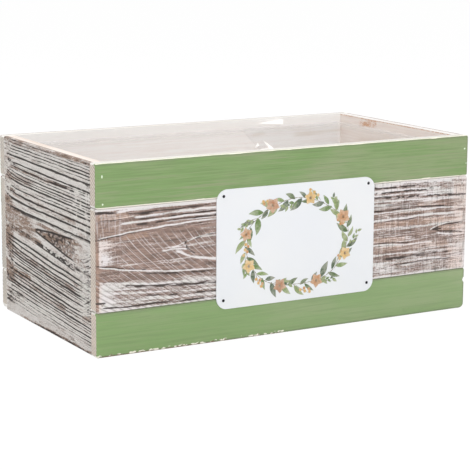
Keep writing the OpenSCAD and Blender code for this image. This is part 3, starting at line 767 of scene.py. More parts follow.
def new_piece(name, points, faces, materials, face_slot=None, crease=0.9):
    """A mesh object at the origin from points in metres and lists of faces, shaded
    smooth except where faces meet at more than crease radians."""
    mesh = bpy.data.meshes.new(name)
    mesh.from_pydata(points.reshape(-1, 3), [], faces)
    for material in materials:
        mesh.materials.append(material)
    if face_slot is not None:
        mesh.polygons.foreach_set("material_index", face_slot)
    mesh.shade_smooth()
    mesh.set_sharp_from_angle(angle=crease)
    mesh.update()
    piece = bpy.data.objects.new(name, mesh)
    bpy.context.scene.collection.objects.link(piece)
    return piece


class Value:
    """One output of a finish's nodes. Sums, differences and products add Math nodes."""

    def __init__(self, finish, socket):
        self.finish = finish
        self.socket = socket

    def maths(self, operation, first, second):
        return self.finish.add("Math", {"operation": operation}, {0: first, 1: second})

    def __add__(self, other):
        return self.maths("ADD", self, other)

    def __radd__(self, other):
        return self.maths("ADD", other, self)

    def __sub__(self, other):
        return self.maths("SUBTRACT", self, other)

    def __rsub__(self, other):
        return self.maths("SUBTRACT", other, self)

    def __mul__(self, other):
        return self.maths("MULTIPLY", self, other)

    def __rmul__(self, other):
        return self.maths("MULTIPLY", other, self)

    def fraction(self):
        """What this value has past the whole number below it."""
        return self.maths("FRACT", self, 0.0)

    def most(self, other):
        """The larger of this value and another."""
        return self.maths("MAXIMUM", self, other)

    def step(self, low, high):
        """Smooth step of this value from 0 at low to 1 at high."""
        return self.finish.add(
            "MapRange", {"interpolation_type": "SMOOTHSTEP"},
            {"Value": self, "From Min": low, "From Max": high})

    def between(self, first, second, third, fourth):
        """Rises from 0 to 1 between the first two and falls back between the others."""
        return self.step(first, second) * (1.0 - self.step(third, fourth))


class Finish:
    """The nodes of a material or a world, and short ways to add them."""

    def __init__(self, name, worlds=False):
        self.owner = (bpy.data.worlds if worlds else bpy.data.materials).new(name)
        self.owner.use_nodes = True
        self.tree = self.owner.node_tree
        self.tree.nodes.clear()

    def feed(self, socket, value):
        """Links a value to a socket, or sets the socket to a number or a colour."""
        if isinstance(value, Value):
            self.tree.links.new(value.socket, socket)
        elif socket.type == "RGBA" and len(value) == 3:
            socket.default_value = (*value, 1)
        else:
            socket.default_value = value

    def node(self, kind, settings=None, sockets=None):
        """A new node: its kind, its settings and the values or links of its sockets."""
        node = self.tree.nodes.new("ShaderNode" + kind)
        for name, value in (settings or {}).items():
            setattr(node, name, value)
        for name, value in (sockets or {}).items():
            self.feed(node.inputs[name], value)
        return node

    def add(self, kind, settings=None, sockets=None, output=0):
        """One output of a new node."""
        return Value(self, self.node(kind, settings, sockets).outputs[output])

    def mix(self, factor, first, second):
        """Colour between the first, at factor 0, and the second, at 1."""
        return self.add(
            "Mix", {"data_type": "RGBA", "clamp_factor": True},
            {0: factor, 6: first, 7: second}, 2)

    def place(self):
        """Object coordinates in millimetres."""
        spot = self.add("TexCoord", output=3)
        return self.add("VectorMath", {"operation": "SCALE"}, {0: spot, "Scale": 1 / MM})

    def parts(self, vector):
        """The three parts of a vector as values."""
        return [Value(self, part) for part in self.node("SeparateXYZ", None, {0: vector}).outputs]

    def lumps(self, spot, size, detail=3.0, rough=0.55):
        """Noise around 0.5 whose lumps have this size in mm along X, Y and Z."""
        scaled = self.add(
            "VectorMath", {"operation": "MULTIPLY"}, {0: spot, 1: tuple(1 / s for s in size)})
        return self.add(
            "TexNoise", None,
            {"Vector": scaled, "Scale": 1.0, "Detail": detail, "Roughness": rough})

    def bump(self, height, strength, distance):
        """Normals of a surface with this height, whose full step is distance in metres."""
        return self.add(
            "Bump", None, {"Height": height, "Strength": strength, "Distance": distance})

    def white_rays(self):
        """1 for the rays that should meet pure white: those that the camera sees straight,
        in a reflection or through the film."""
        rays = self.node("LightPath").outputs
        camera, glossy, through = (
            Value(self, rays[f"Is {kind} Ray"]) for kind in ("Camera", "Glossy", "Transmission"))
        return camera.most(glossy).most(through)

    def surface(self, **sockets):
        """The closing Principled shader; socket names are written with underscores."""
        named = {name.replace("_", " "): value for name, value in sockets.items()}
        return self.close(self.add("BsdfPrincipled", None, named))

    def close(self, shader, output="OutputMaterial"):
        """Leads the shader to the output and returns the material or the world."""
        self.node(output, None, {"Surface": shader})
        return self.owner


def grain_channels(finish):
    """The board attribute as four values: dark, wash, warm and saw."""
    attribute = finish.node("Attribute", {"attribute_name": "grain"}).outputs
    split = finish.node("SeparateColor", None, {0: Value(finish, attribute["Color"])}).outputs
    return [Value(finish, output) for output in (*split, attribute["Alpha"])]


def along(axis, length, across):
    """Lump size of grain that lies along X or Y."""
    return (length, across, across) if axis == "X" else (across, length, across)


def sawn_across(finish, shade, spot, noises, saw_here, inks, amount):
    """Saw marks over the shade of the washed middle board: curved strokes of wash at
    three pitches left of the sign, with dark hatching low down, a comb of upright strokes
    at its right with shadows between them, and a weave of them high up at the left end.
    Noises are hair, speck and cloud, and inks the brown, the dark and the wash."""
    hair, speck, cloud = noises
    brown, dark, wash = inks
    x, _, z = finish.parts(spot)
    lifted = z - HEIGHT / 2
    bent = x + WIDTH / 2 + lifted * 1.1 - lifted * lifted * 0.009 + (cloud - 0.5) * 1.6
    left = 1.0 - x.step(-78.0, -62.0)
    area = (0.2 + 0.8 * (1.0 - z.step(87.0, 95.0))) * x.step(-160.0, -148.0).most(1.0 - z.step(56.0, 70.0))
    strength = (saw_here + (hair - 0.5) * 0.5 + (speck - 0.5) * 0.4 + (cloud - 0.5) * 0.9).step(0.2, 0.6)
    marks = 0.0
    for pitch, start, weight in ((SAW_PITCH, 4.3, 1.0), (10.7, 1.4, 0.45), (15.1, 8.2, 0.4)):
        swept = ((bent + start) * (1 / pitch)).fraction()
        width = 0.78 / pitch
        marks = swept.between(0.0, 0.3 * width, 0.4 * width, width) * weight + marks
    low = 1.0 - z.step(50.0, 64.0)
    hatch = (bent * (1 / SAW_PITCH)).fraction().between(0.45, 0.6, 0.75, 0.95) * low * 0.4
    upright = finish.lumps(spot, (1.5, 1.5, 15), 3, 0.6)
    comb = upright.step(0.52, 0.66) * (1.0 - left) * 0.36
    weave = upright.step(0.46, 0.6) * (1.0 - x.step(-158.0, -148.0)) * z.step(70.0, 76.0) * 0.4
    marks = (marks * left * area + comb + weave) * strength * amount
    shade = finish.mix(hatch * left, shade, toned(brown, 0.5))
    shade = finish.mix(marks, shade, wash)
    shadow = (1.0 - upright.step(0.34, 0.46)) * (1.0 - left) * 0.4
    return finish.mix(shadow * strength, shade, dark)


def washed_wood(name, axis, brown, warm, dark, wash, saw_marks=0.0):
    """Stained wood under a worn wash: the grain attribute says where, and noise drawn out
    along the grain breaks up its borders. Without saw marks, the attribute's last value
    is a brighter rim beside each groove, a painted highlight."""
    finish = Finish(name)
    spot = finish.place()
    dark_here, wash_here, warm_here, saw_here = grain_channels(finish)
    fibre = finish.lumps(spot, along(axis, 12, 0.9), 4, 0.65)
    hair = finish.lumps(spot, along(axis, 5, 0.3), 3)
    speck = finish.lumps(spot, (1.3, 1.3, 0.9), 3, 0.65)
    cloud = finish.lumps(spot, along(axis, 30, 11), 3)
    palest = toned(brown, 1.2)
    shade = finish.mix((fibre + (speck - 0.5) * 0.3).step(0.34, 0.64), toned(brown, 0.6), palest)
    warmer = finish.mix(
        (fibre * 0.6 + speck * 0.4).step(0.38, 0.62), toned(warm, 0.66), toned(warm, 1.12))
    shade = finish.mix(
        (warm_here * 1.2 + (cloud - 0.5) * 0.8).step(0.25, 0.95) * 0.85, shade, warmer)
    ragged = 0.8 if saw_marks else 1.5
    worn = wash_here + (fibre - 0.5) * 0.95 + (speck - 0.5) * ragged + (cloud - 0.5) * 0.25
    coat = finish.mix(cloud.step(0.35, 0.65), wash, toned(wash, 0.9, 0.93, 0.9))
    if saw_marks:
        coat = finish.mix(warm_here * 0.8, coat, tint(232, 206, 194))
        shade = finish.mix(worn.step(0.3, 0.75) * 0.94, shade, coat)
        shade = sawn_across(
            finish, shade, spot, (hair, speck, cloud), saw_here, (brown, dark, wash), saw_marks)
    else:
        # Painted highlight: away from the rims beside the grooves the wash is dimmed, so the rims read
        # brighter
        coat = finish.mix(1.0 - saw_here, coat, toned(wash, 0.86))
        coat = finish.mix(fibre.step(0.5, 0.7) * 0.42, coat, palest)
        shade = finish.mix(worn.step(0.15, 0.72) * 0.95, shade, coat)
    grit, hairy = (0.75, 0.22) if saw_marks else (0.85, 0.34)
    deep = (dark_here + (speck - 0.5) * grit + (fibre - 0.5) * 0.4).step(0.3, 0.72)
    shade = finish.mix(deep * 0.95, shade, dark)
    shade = finish.mix(hair.step(0.6, 0.78) * hairy, shade, dark)
    height = fibre * 0.6 + hair * 0.4 - deep * 0.5
    return finish.surface(
        Base_Color=shade, Roughness=0.72 + 0.2 * deep, Specular_IOR_Level=0.3,
        Normal=finish.bump(height, 0.35, 0.0006))


def green_paint(name, green):
    """Brushed paint on wood: streaks along X, thin places, and bare wood with a grubby
    border where the attribute says that the paint has gone. The attribute also carries a
    painted shade along the right end and pale flecks over the brads as their painted
    highlight, and the green is painted paler towards the bottom as painted light."""
    finish = Finish(name)
    spot = finish.place()
    bare, grime_and_shade, chip, fleck_highlight = grain_channels(finish)
    brush = finish.lumps(spot, (60, 3, 1.3), 4, 0.65)
    stripe = finish.lumps(spot, (34, 2, 0.7), 3, 0.6)
    bristle = finish.lumps(spot, (26, 0.7, 0.4), 3, 0.6)
    cloud = finish.lumps(spot, (60, 20, 22), 3, 0.5)
    x, _, z = finish.parts(spot)
    # Painted light: towards the bottom of the wall the green turns paler and less streaky, as if more light
    # reached it there. It also turns paler towards the right.
    lower = 1.0 - z.step(34.0, 116.0)
    shade = finish.mix(
        (cloud + x * 0.0006).step(0.35, 0.75),
        toned(green, 0.86, 0.94, 0.84), toned(green, 1.12, 0.98, 1.18))
    thin = (brush + (bristle - 0.5) * 0.45).step(0.5, 0.68)
    shade = finish.mix(thin * 0.75 * (1.0 - lower * 0.6), shade, tint(150, 156, 124))
    shade = finish.mix((0.5 - brush).step(0.0, 0.12) * 0.5, shade, toned(green, 0.76))
    shade = finish.mix(stripe.step(0.5, 0.66) * 0.42 * (1.0 - lower * 0.5), shade, tint(112, 134, 88))
    shade = finish.mix(lower * (0.12 + x * 0.0004), shade, tint(184, 202, 164))
    # Grime by the edges, and a painted shade along the right end of each board
    shade = finish.mix(grime_and_shade.step(0.2, 1.0) * 0.5, shade, tint(120, 128, 102))
    wood = finish.mix(chip.step(0.3, 0.7), tint(250, 246, 232), tint(128, 104, 84))
    lost = (bare + (bristle - 0.5) * 0.2).step(0.42, 0.58)
    shade = finish.mix(lost, shade, wood)
    # Pale flecks over the brads: chipped paint, drawn pale green-white as a painted highlight of the bare
    # heads
    shade = finish.mix(fleck_highlight.step(0.3, 0.7), shade, tint(226, 240, 214))
    height = brush * 0.5 + bristle * 0.5 - lost * 0.8
    return finish.surface(
        Base_Color=shade, Roughness=0.5 + 0.2 * bristle + 0.2 * lost, Specular_IOR_Level=0.35,
        Normal=finish.bump(height, 0.25, 0.0004))


def end_grain(name, pale, brown):
    """Sawn ends: slanted growth rings, a little wash in them and fine pores. The rings
    are slices of slanted planes, so they show as lines on every cut."""
    finish = Finish(name)
    spot = finish.place()
    _, y, z = finish.parts(spot)
    drift = finish.lumps(spot, (9, 9, 9), 2)
    pores = finish.lumps(spot, (0.5, 0.5, 0.5), 3, 0.6)
    cloud = finish.lumps(spot, (40, 40, 16), 3)
    rings = ((y * 0.5 - z * 0.62 + drift * 3.0) * (1 / 1.9)).fraction()
    line = rings.between(0.3, 0.75, 0.86, 1.0)
    shade = finish.mix((line * 0.8 + (pores - 0.5) * 0.9).step(0.15, 0.9), pale, brown)
    shade = finish.mix((cloud + (pores - 0.5) * 0.3).step(0.4, 0.7) * 0.4, shade, tint(222, 206, 192))
    return finish.surface(
        Base_Color=shade, Roughness=0.85, Specular_IOR_Level=0.25,
        Normal=finish.bump(pores * 0.6 + line * 0.4, 0.35, 0.0005))


def limed_wood(name, axis, wash, pink, tan):
    """Inner faces and long edges: thin pale wash with soft grain and a pink or tan cast,
    and from the attribute tan streaks, bleached places and knots."""
    finish = Finish(name)
    spot = finish.place()
    streak, bleached, knot, _ = grain_channels(finish)
    fibre = finish.lumps(spot, along(axis, 60, 2.2), 4, 0.6)
    hair = finish.lumps(spot, along(axis, 14, 0.5), 3)
    cloud = finish.lumps(spot, along(axis, 70, 16), 3)
    speck = finish.lumps(spot, (1.6, 1.6, 1.2), 3, 0.6)
    shade = finish.mix((fibre + (hair - 0.5) * 0.3).step(0.38, 0.66), wash, pink)
    shade = finish.mix((cloud + (fibre - 0.5) * 0.4).step(0.5, 0.74) * 0.5, shade, tan)
    shade = finish.mix(hair.step(0.62, 0.74) * 0.22, shade, tint(190, 176, 166))
    shade = finish.mix(bleached * 0.7, shade, tint(250, 250, 249))
    shade = finish.mix(streak * (0.5 + fibre * 0.8), shade, tint(205, 186, 162))
    knotty = (knot + (speck - 0.5) * 1.5).step(0.3, 0.7) * knot.step(0.05, 0.3)
    shade = finish.mix(knotty, shade, tint(196, 144, 104))
    return finish.surface(
        Base_Color=shade, Roughness=0.8, Specular_IOR_Level=0.3,
        Normal=finish.bump(fibre * 0.5 + hair * 0.5, 0.25, 0.0004))


FINISHES = {}


def finish_for(name, make, *facts):
    """A finish that several pieces share: made once and kept by name."""
    if name not in FINISHES:
        FINISHES[name] = make(name, *facts)
    return FINISHES[name]


# Wash, pink and tan of long edges and inner faces, and the light and dark of sawn ends
RIMS = {
    "cream": (tint(224, 222, 217), tint(219, 215, 208), tint(206, 200, 190)),
    "peach": (tint(230, 221, 213), tint(225, 212, 202), tint(206, 187, 171)),
    "faded": (tint(236, 233, 230), tint(230, 225, 221), tint(218, 210, 204)),
    "pale": (tint(232, 231, 226), tint(224, 219, 212), tint(204, 203, 195)),
}
# Painted light and shade inside the box: the inner faces of the long walls are set near white, and those of
# the side walls get a darker, pinker copy of the same wash, to match how the light falls on each
INSIDE_LIT_AND_SHADED = {
    "X": (tint(251, 249, 248), tint(247, 242, 240), tint(242, 233, 228)),
    "Y": (tint(235, 227, 222), tint(230, 219, 213), tint(221, 207, 198)),
}
USUAL_ENDS = (tint(212, 203, 193), tint(158, 141, 128))
PALE_ENDS = (tint(203, 198, 190), tint(152, 142, 132))


def wood_set(axis, outer, rim):
    """The four finishes of a board: outer face, long edges, inner face and sawn ends."""
    edges = finish_for(rim + "_rim", limed_wood, axis, *RIMS[rim])
    inner = finish_for("limed_inside_" + axis, limed_wood, axis, *INSIDE_LIT_AND_SHADED[axis])
    sawn = finish_for("sawn_ends_" + rim, end_grain, *(PALE_ENDS if rim == "pale" else USUAL_ENDS))
    return outer, edges, inner, sawn


def seat(piece, slot, *nodes):
    """The piece rides on the box and stands for its CAD nodes, which it hides. Slot is not used."""
    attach(piece, "root")
    if nodes:
        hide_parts(*nodes)


class PLANTER_OT_front_boards(Operator):
    """Builds the front wall: two green boards and the washed brown one between them"""
    bl_idname = "planter.front_boards"
    bl_label = "Front boards"

    def execute(self, context):
        boards = context.scene.planter_boards
        paint = finish_for("green_paint", green_paint, tuple(boards.green))
        brown = finish_for(
            "washed_brown_wood", washed_wood, "X", tuple(boards.brown), tint(176, 147, 131),
            tint(70, 62, 59), tuple(boards.wash), 0.85)
        ends = (BRAD_INSET, WIDTH - BRAD_INSET)

        def top(run, height):
            look = painted_look(run, height, TOP_LOW - SNUG, HEIGHT, 51, BRAD_FLECKS_AND_HIGHLIGHTS)
            dimples(look, run, height, ends, TOP_BRADS, 0.2, 0)
            return look

        def bottom(run, height):
            look = painted_look(run, height, 0.0, BOTTOM_HIGH + SNUG, 61)
            dimples(look, run, height, ends, LOW_BRADS, 0.2, 0)
            dimples(look, run, height, FLOOR_BRADS_LONG, (FLOOR_BRAD_HEIGHT,), 0.2, 0)
            return look

        span = (0.0, WIDTH)
        seat(board_piece(
            "painted_top_board", FRONT, span, (TOP_LOW - SNUG, HEIGHT), top, wood_set("X", paint, "cream"),
            (CORNER, EASED, CORNER, EASED)), "green_paint", "front_top_board")
        seat(board_piece(
            "washed_middle_board", FRONT, span, (MIDDLE_LOW - SNUG, MIDDLE_HIGH + SNUG), middle_board_look,
            wood_set("X", brown, "cream"), (CORNER, EASED, EASED, EASED)),
            "whitewashed_wood", "front_middle_board")
        seat(board_piece(
            "painted_bottom_board", FRONT, span, (0.0, BOTTOM_HIGH + SNUG), bottom,
            wood_set("X", paint, "cream"), (EASED, EASED, WORN, EASED), chip=end_chip),
            "green_paint", "front_bottom_board")
        return {"FINISHED"}


# Tan streaks of the back wall's inner face: points as run from its right end and height
BACK_STREAKS = (((12, 134.6, 30, 134.2, 54, 133.2), 1.7, 0.36, 14), ((96, 136, 104, 135.6), 1.2, 0.3, 6))


class PLANTER_OT_back_boards(Operator):
    """Builds the back wall: three washed boards at the heights of the front ones"""
    bl_idname = "planter.back_boards"
    bl_label = "Back boards"

    def execute(self, context):
        boards = context.scene.planter_boards
        pale = finish_for(
            "pale_washed_wood", washed_wood, "X", tuple(boards.brown), tint(196, 166, 146),
            tint(110, 94, 84), tuple(boards.wash))
        ends = (BRAD_INSET, WIDTH - BRAD_INSET)
        top = (TOP_LOW - SNUG, HEIGHT)
        middle = (MIDDLE_LOW - SNUG, MIDDLE_HIGH + SNUG)
        rows = (
            ("back_top_board", top, 71, 0.05, 0.45, TOP_BRADS, (CORNER, EASED, CORNER, EASED)),
            ("back_middle_board", middle, 81, 0.09, 0.9, MIDDLE_BRADS, (EASED,) * 4),
            ("back_bottom_board", (0.0, BOTTOM_HIGH + SNUG), 91, 0.04, 0.45, LOW_BRADS,
             (WORN, EASED, WORN, EASED)),
        )
        for node, heights, seed, tilt, brown, brads, corners in rows:

            def carve(run, height):
                look = sawn_grain_look(run, height, seed, tilt, brown, 0.8)
                dimples(look, run, height, ends, brads)
                if heights[0] == 0:
                    dimples(look, run, height, FLOOR_BRADS_LONG, (FLOOR_BRAD_HEIGHT,))
                return look

            seat(board_piece(
                "washed_" + node, BACK, (0.0, WIDTH), heights, carve, wood_set("X", pale, "pale"), corners,
                streaks=BACK_STREAKS), "whitewashed_wood", node)
        return {"FINISHED"}


class PLANTER_OT_side_panels(Operator):
    """Builds the two wire-brushed side panels"""
    bl_idname = "planter.side_panels"
    bl_label = "Side panels"

    def execute(self, context):
        boards = context.scene.planter_boards
        brushed = finish_for(
            "brushed_wood", washed_wood, "Y", tint(160, 143, 134), tint(141, 118, 101),
            tint(50, 44, 42), tint(227, 223, 219))

        def left(run, height):
            return brushed_panel_look(run, height, 31)

        def right(run, height):
            return brushed_panel_look(DEPTH - run, height, 231)

        span = (WALL, DEPTH - WALL)
        square = (0.01,) * 4
        knots = (
            ((122, 146.2, 136, 144.8, 148, 143.6), 4.2, 0.44, 3), ((132, 145.4, 142, 144.6), 2.6, 0.56, 2),
            ((0, 149.4, DEPTH, 149.4), 0.9, 0.6),
        )
        for name, wall, carve, marks, rim, node in (
            ("brushed_left_panel", LEFT, left, (), "peach", "left_side_panel"),
            ("brushed_right_panel", RIGHT, right, knots, "faded", "right_side_panel"),
        ):
            seat(board_piece(
                name, wall, span, (0.0, HEIGHT), carve, wood_set("Y", brushed, rim), square, False,
                knots=marks, finer=1.28), "brushed_wood", node)
        return {"FINISHED"}


class PLANTER_OT_floor_board(Operator):
    """Gives the floor board plain sawn wood"""
    bl_idname = "planter.floor_board"
    bl_label = "Floor board"

    def execute(self, context):
        wood = finish_for(
            "sawn_floor", limed_wood, "X", tint(238, 231, 220), tint(228, 217, 203), tint(212, 197, 180))
        dress("floor_board", wood)
        return {"FINISHED"}


def dress(node, material):
    """Gives a CAD node a material in place of its plain one."""
    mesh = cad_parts[node].data
    mesh.materials.clear()
    mesh.materials.append(material)


# Painted glints on the film, as triangles of run and height on the back wall, that glow in place of creases
# catching the light
PAINTED_FILM_GLINTS = (
    ((247, 146.6), (274, 144.3), (274, 149.0)), ((253, 130.4), (261, 121.4), (265.5, 121.8)),
    ((244, 124.0), (249, 126.4), (247, 128.8)), ((248, 122.4), (262, 123.0), (262, 124.0)),
)


def film_finish(name, haze):
    """Clear film: mostly see-through, a little milky and glossy, more so where the grain
    attribute says that folds lie double. Where it marks a painted glint, the film is
    nearly opaque and glows grey-white by emission, as painted light."""
    finish = Finish(name)
    spot = finish.place()
    fold, glint, _, _ = grain_channels(finish)
    ripple = finish.lumps(spot, (9, 9, 7), 3, 0.6)
    crinkle = finish.lumps(spot, (2.2, 2.2, 2.2), 2, 0.5)
    cover = haze + 0.25 * fold + 0.03 * (ripple - 0.5)
    # Painted glints: the emission makes the marked triangles glow as if they reflected a lamp
    return finish.surface(
        Base_Color=tint(252, 251, 251), Roughness=0.14, Alpha=cover, Specular_IOR_Level=0.5,
        Emission_Color=finish.mix(glint, (0.0, 0.0, 0.0), (0.35, 0.35, 0.34)), Emission_Strength=1.0,
        Normal=finish.bump(ripple * 0.7 + crinkle * 0.3, 0.4, 0.001))


def rounded_loop(width, depth, radius, steps):
    """Closed loop round a rectangle with quarter circles at its corners, as rows of X and
    Y from its middle: 7 points on each corner and steps points on each straight side, the
    first number on the short sides and the second on the long ones."""
    turns = np.radians(np.linspace(0, 90, 7))
    centre = np.array((width / 2 - radius, depth / 2 - radius))
    arcs = []
    for signs, start in (((1, -1), -90), ((1, 1), 0), ((-1, 1), 90), ((-1, -1), 180)):
        angle = turns + np.radians(start)
        arcs.append(signs * centre + radius * np.stack((np.cos(angle), np.sin(angle)), -1))
    parts = []
    for number, arc, following in zip(steps * 2, arcs, arcs[1:] + arcs[:1]):
        share = np.linspace(0, 1, number + 2)[1:-1, None]
        parts += [arc, arc[-1] + (following[0] - arc[-1]) * share]
    return np.concatenate(parts)


# The film's thickness and the radius of its corners
FILM = 0.3
FILM_CORNER = 3.9

# Its ears: their reach, how far they stay from the corner and from the wall behind, and
# the points along each side
EAR_REACH = 106.0
EAR_INSET = 4.0
EAR_GAP = 0.75
EAR_POINTS = 40

# Its painted glints: how far they stand in front of the wall, and the fold value that marks them
GLINT_GAP = 3.6
GLINT_FOLD = 3.6


def film_tray(low, high, wrinkle):
    """The film's floor and walls as a skin with fold values: the floor is a rounded loop
    drawn in to the middle and the walls are the loop lifted. Wrinkles push the floor up
    and the walls in, and the hem along the top is folded over."""
    size, middle = high - low, (high + low) / 2
    floor_z = low[2] + FILM / 2
    loop = rounded_loop(size[0] - FILM, size[1] - FILM, FILM_CORNER, (60, 110))
    lengths = np.append(0, np.cumsum(np.hypot(*np.diff(loop, axis=0).T)))
    inward = loop / (size[:2] / 2)
    inward = np.where(np.abs(inward) > 0.97, np.sign(inward), 0)
    spread, rise = np.linspace(0.02, 0.995, 24), np.linspace(0, 1, 44)
    is_wall = np.append(spread * 0, rise * 0 + 1)[:, None]
    drawn = np.append(spread, rise * 0 + 1)[:, None, None]
    level = floor_z + np.append(spread * 0, rise * (high[2] - floor_z))
    level = np.repeat(level[:, None], len(loop), 1)
    along_loop = np.repeat(lengths[None], len(level), 0)
    lift = cloudy(along_loop, level, 23, 31, 121)
    lift = lift * (0.6 + 0.4 * noise(along_loop, level, 7, 12, 122)) * wrinkle
    flat = drawn * loop - inward * (lift * is_wall)[..., None] + middle[:2]
    grid = np.concatenate((flat, (level + 0.8 * lift * (1 - is_wall))[..., None]), -1)

    # Four-cornered faces, turned over to point outwards, and a fan that closes the middle
    index = np.arange(level.size).reshape(level.shape)
    pole = np.full(len(loop), level.size)
    quads = grid_faces(index, closed=True)[..., [0, 3, 2, 1]].reshape(-1, 4)
    fan = np.stack((np.roll(index[0], -1), index[0], pole), -1)
    hem = np.zeros_like(level)
    hem[-1], hem[-2] = 1.6, 0.9
    points = np.concatenate((grid.reshape(-1, 3), np.append(middle[:2], floor_z)[None]))
    return points, (quads, fan), np.append(hem, 0.0)


def film_ear(end, side, low, high, wrinkle):
    """One ear as a skin with fold values: a right-angled triangle at the upper corner at
    this end and side, turned onto the long wall except at the left rear corner, where the
    film goes round onto the short one."""
    size, middle = high - low, (high + low) / 2
    steps = np.linspace(0, 1, EAR_POINTS)
    a, b = np.meshgrid(steps, steps, indexing="ij")
    ear_z = high[2] - EAR_REACH * b
    turned = end < 0 < side
    length, breadth = (size[1], size[0]) if turned else (size[0], size[1])
    along_wall = length / 2 - EAR_INSET - EAR_REACH * a * (1 - b)
    bulge = 0.5 * noise(along_wall, ear_z, 13, 17, 130 + end * 2 + side)
    bulge = (0.9 + wrinkle * (0.7 + bulge)) * (0.35 + 0.65 * smooth(0, 0.1, 1 - a))
    off_wall = breadth / 2 - EAR_GAP - bulge
    ear_x, ear_y = (off_wall, along_wall) if turned else (along_wall, off_wall)
    points = np.stack((end * ear_x + middle[0], side * ear_y + middle[1], ear_z), -1)
    faces = grid_faces(np.arange(a.size).reshape(a.shape))

    # Mirroring turns the faces of some ears over, so they are turned back
    if end * side > 0 or turned:
        faces = faces[..., ::-1]
    crease = np.clip(1 - smooth(0, 0.035, b) + smooth(0.965, 1, a), 0, 1)
    return points.reshape(-1, 3), (faces.reshape(-1, 4),), (0.3 * crease).ravel()


class PLANTER_OT_liner(Operator):
    """Builds the folded film liner with its four corner ears"""
    bl_idname = "planter.liner"
    bl_label = "Film liner"

    def execute(self, context):
        liner = context.scene.planter_liner
        wrinkle = liner.wrinkle / MM
        low, high = node_box("film_liner")
        skins = [film_tray(low, high, wrinkle)]
        skins += [film_ear(end, side, low, high, wrinkle) for end in (-1, 1) for side in (-1, 1)]

        # Painted glints, just in front of the ear at the right rear corner: glowing triangles in place of
        # creases that catch the light
        for glint in PAINTED_FILM_GLINTS:
            corners = np.array([(run - WIDTH / 2, high[1] - GLINT_GAP, height) for run, height in glint])
            skins.append((corners, (np.arange(3)[None],), np.full(3, GLINT_FOLD)))
        points, faces, fold = joined(skins)
        film = new_piece(
            "clear_film_liner", points * MM, faces,
            [finish_for("clear_film", film_finish, liner.haze)], crease=1.2)
        channels = np.repeat(fold[:, None], 4, 1)
        channels[:, 1] = fold >= GLINT_FOLD
        colour_points(film, "grain", channels)
        seat(film, "clear_film", "film_liner")
        return {"FINISHED"}


def blades(base, heading, length, width, bend, steps=9, across=5):
    """Flat leaves on the sign, each a grid of x and z: its midrib leaves base along
    heading and turns by bend towards the tip, and its half width is
    width x sin(pi x share^0.8). Arguments are one for all or one for each leaf."""
    heading, length, width, bend = (
        fact[:, None] for fact in np.broadcast_arrays(np.atleast_1d(heading), length, width, bend))
    share = np.linspace(0, 1, steps)
    turn = heading + bend * share
    stride = np.stack((np.cos(turn), np.sin(turn)), -1) * (length / (steps - 1))[..., None]
    rib = base[..., None, :] + np.cumsum(stride, 1) - stride
    half = width * np.sin(np.pi * np.clip(share, 0.02, 0.985) ** 0.8)
    sideways = np.stack((-np.sin(turn), np.cos(turn)), -1)
    off = half[..., None] * np.linspace(-1, 1, across)
    return rib[:, :, None] + sideways[:, :, None] * off[..., None]


def print_finish(name):
    """Printed inks: each shape's own colour, thinned by blots, darker along its rib and
    its rim."""
    finish = Finish(name)
    spot = finish.place()
    ink = finish.add("Attribute", {"attribute_name": "ink"})
    rib, rim, thin, _ = grain_channels(finish)
    blot = finish.lumps(spot, (2.6, 2.6, 2.6), 3, 0.6)
    grit = finish.lumps(spot, (0.5, 0.5, 0.5), 2, 0.6)
    thinned = (blot + (grit - 0.5) * 0.4 + thin * 0.3).step(0.4, 0.9) * 0.4
    shade = finish.mix(thinned, ink, tint(232, 230, 214))
    shade = finish.mix(rib * 0.4, shade, tint(70, 78, 52))
    shade = finish.mix(rim * 0.25, shade, tint(70, 74, 56))
    return finish.surface(
        Base_Color=shade, Roughness=0.36 + 0.1 * grit, Normal=finish.bump(blot, 0.05, 0.0003))


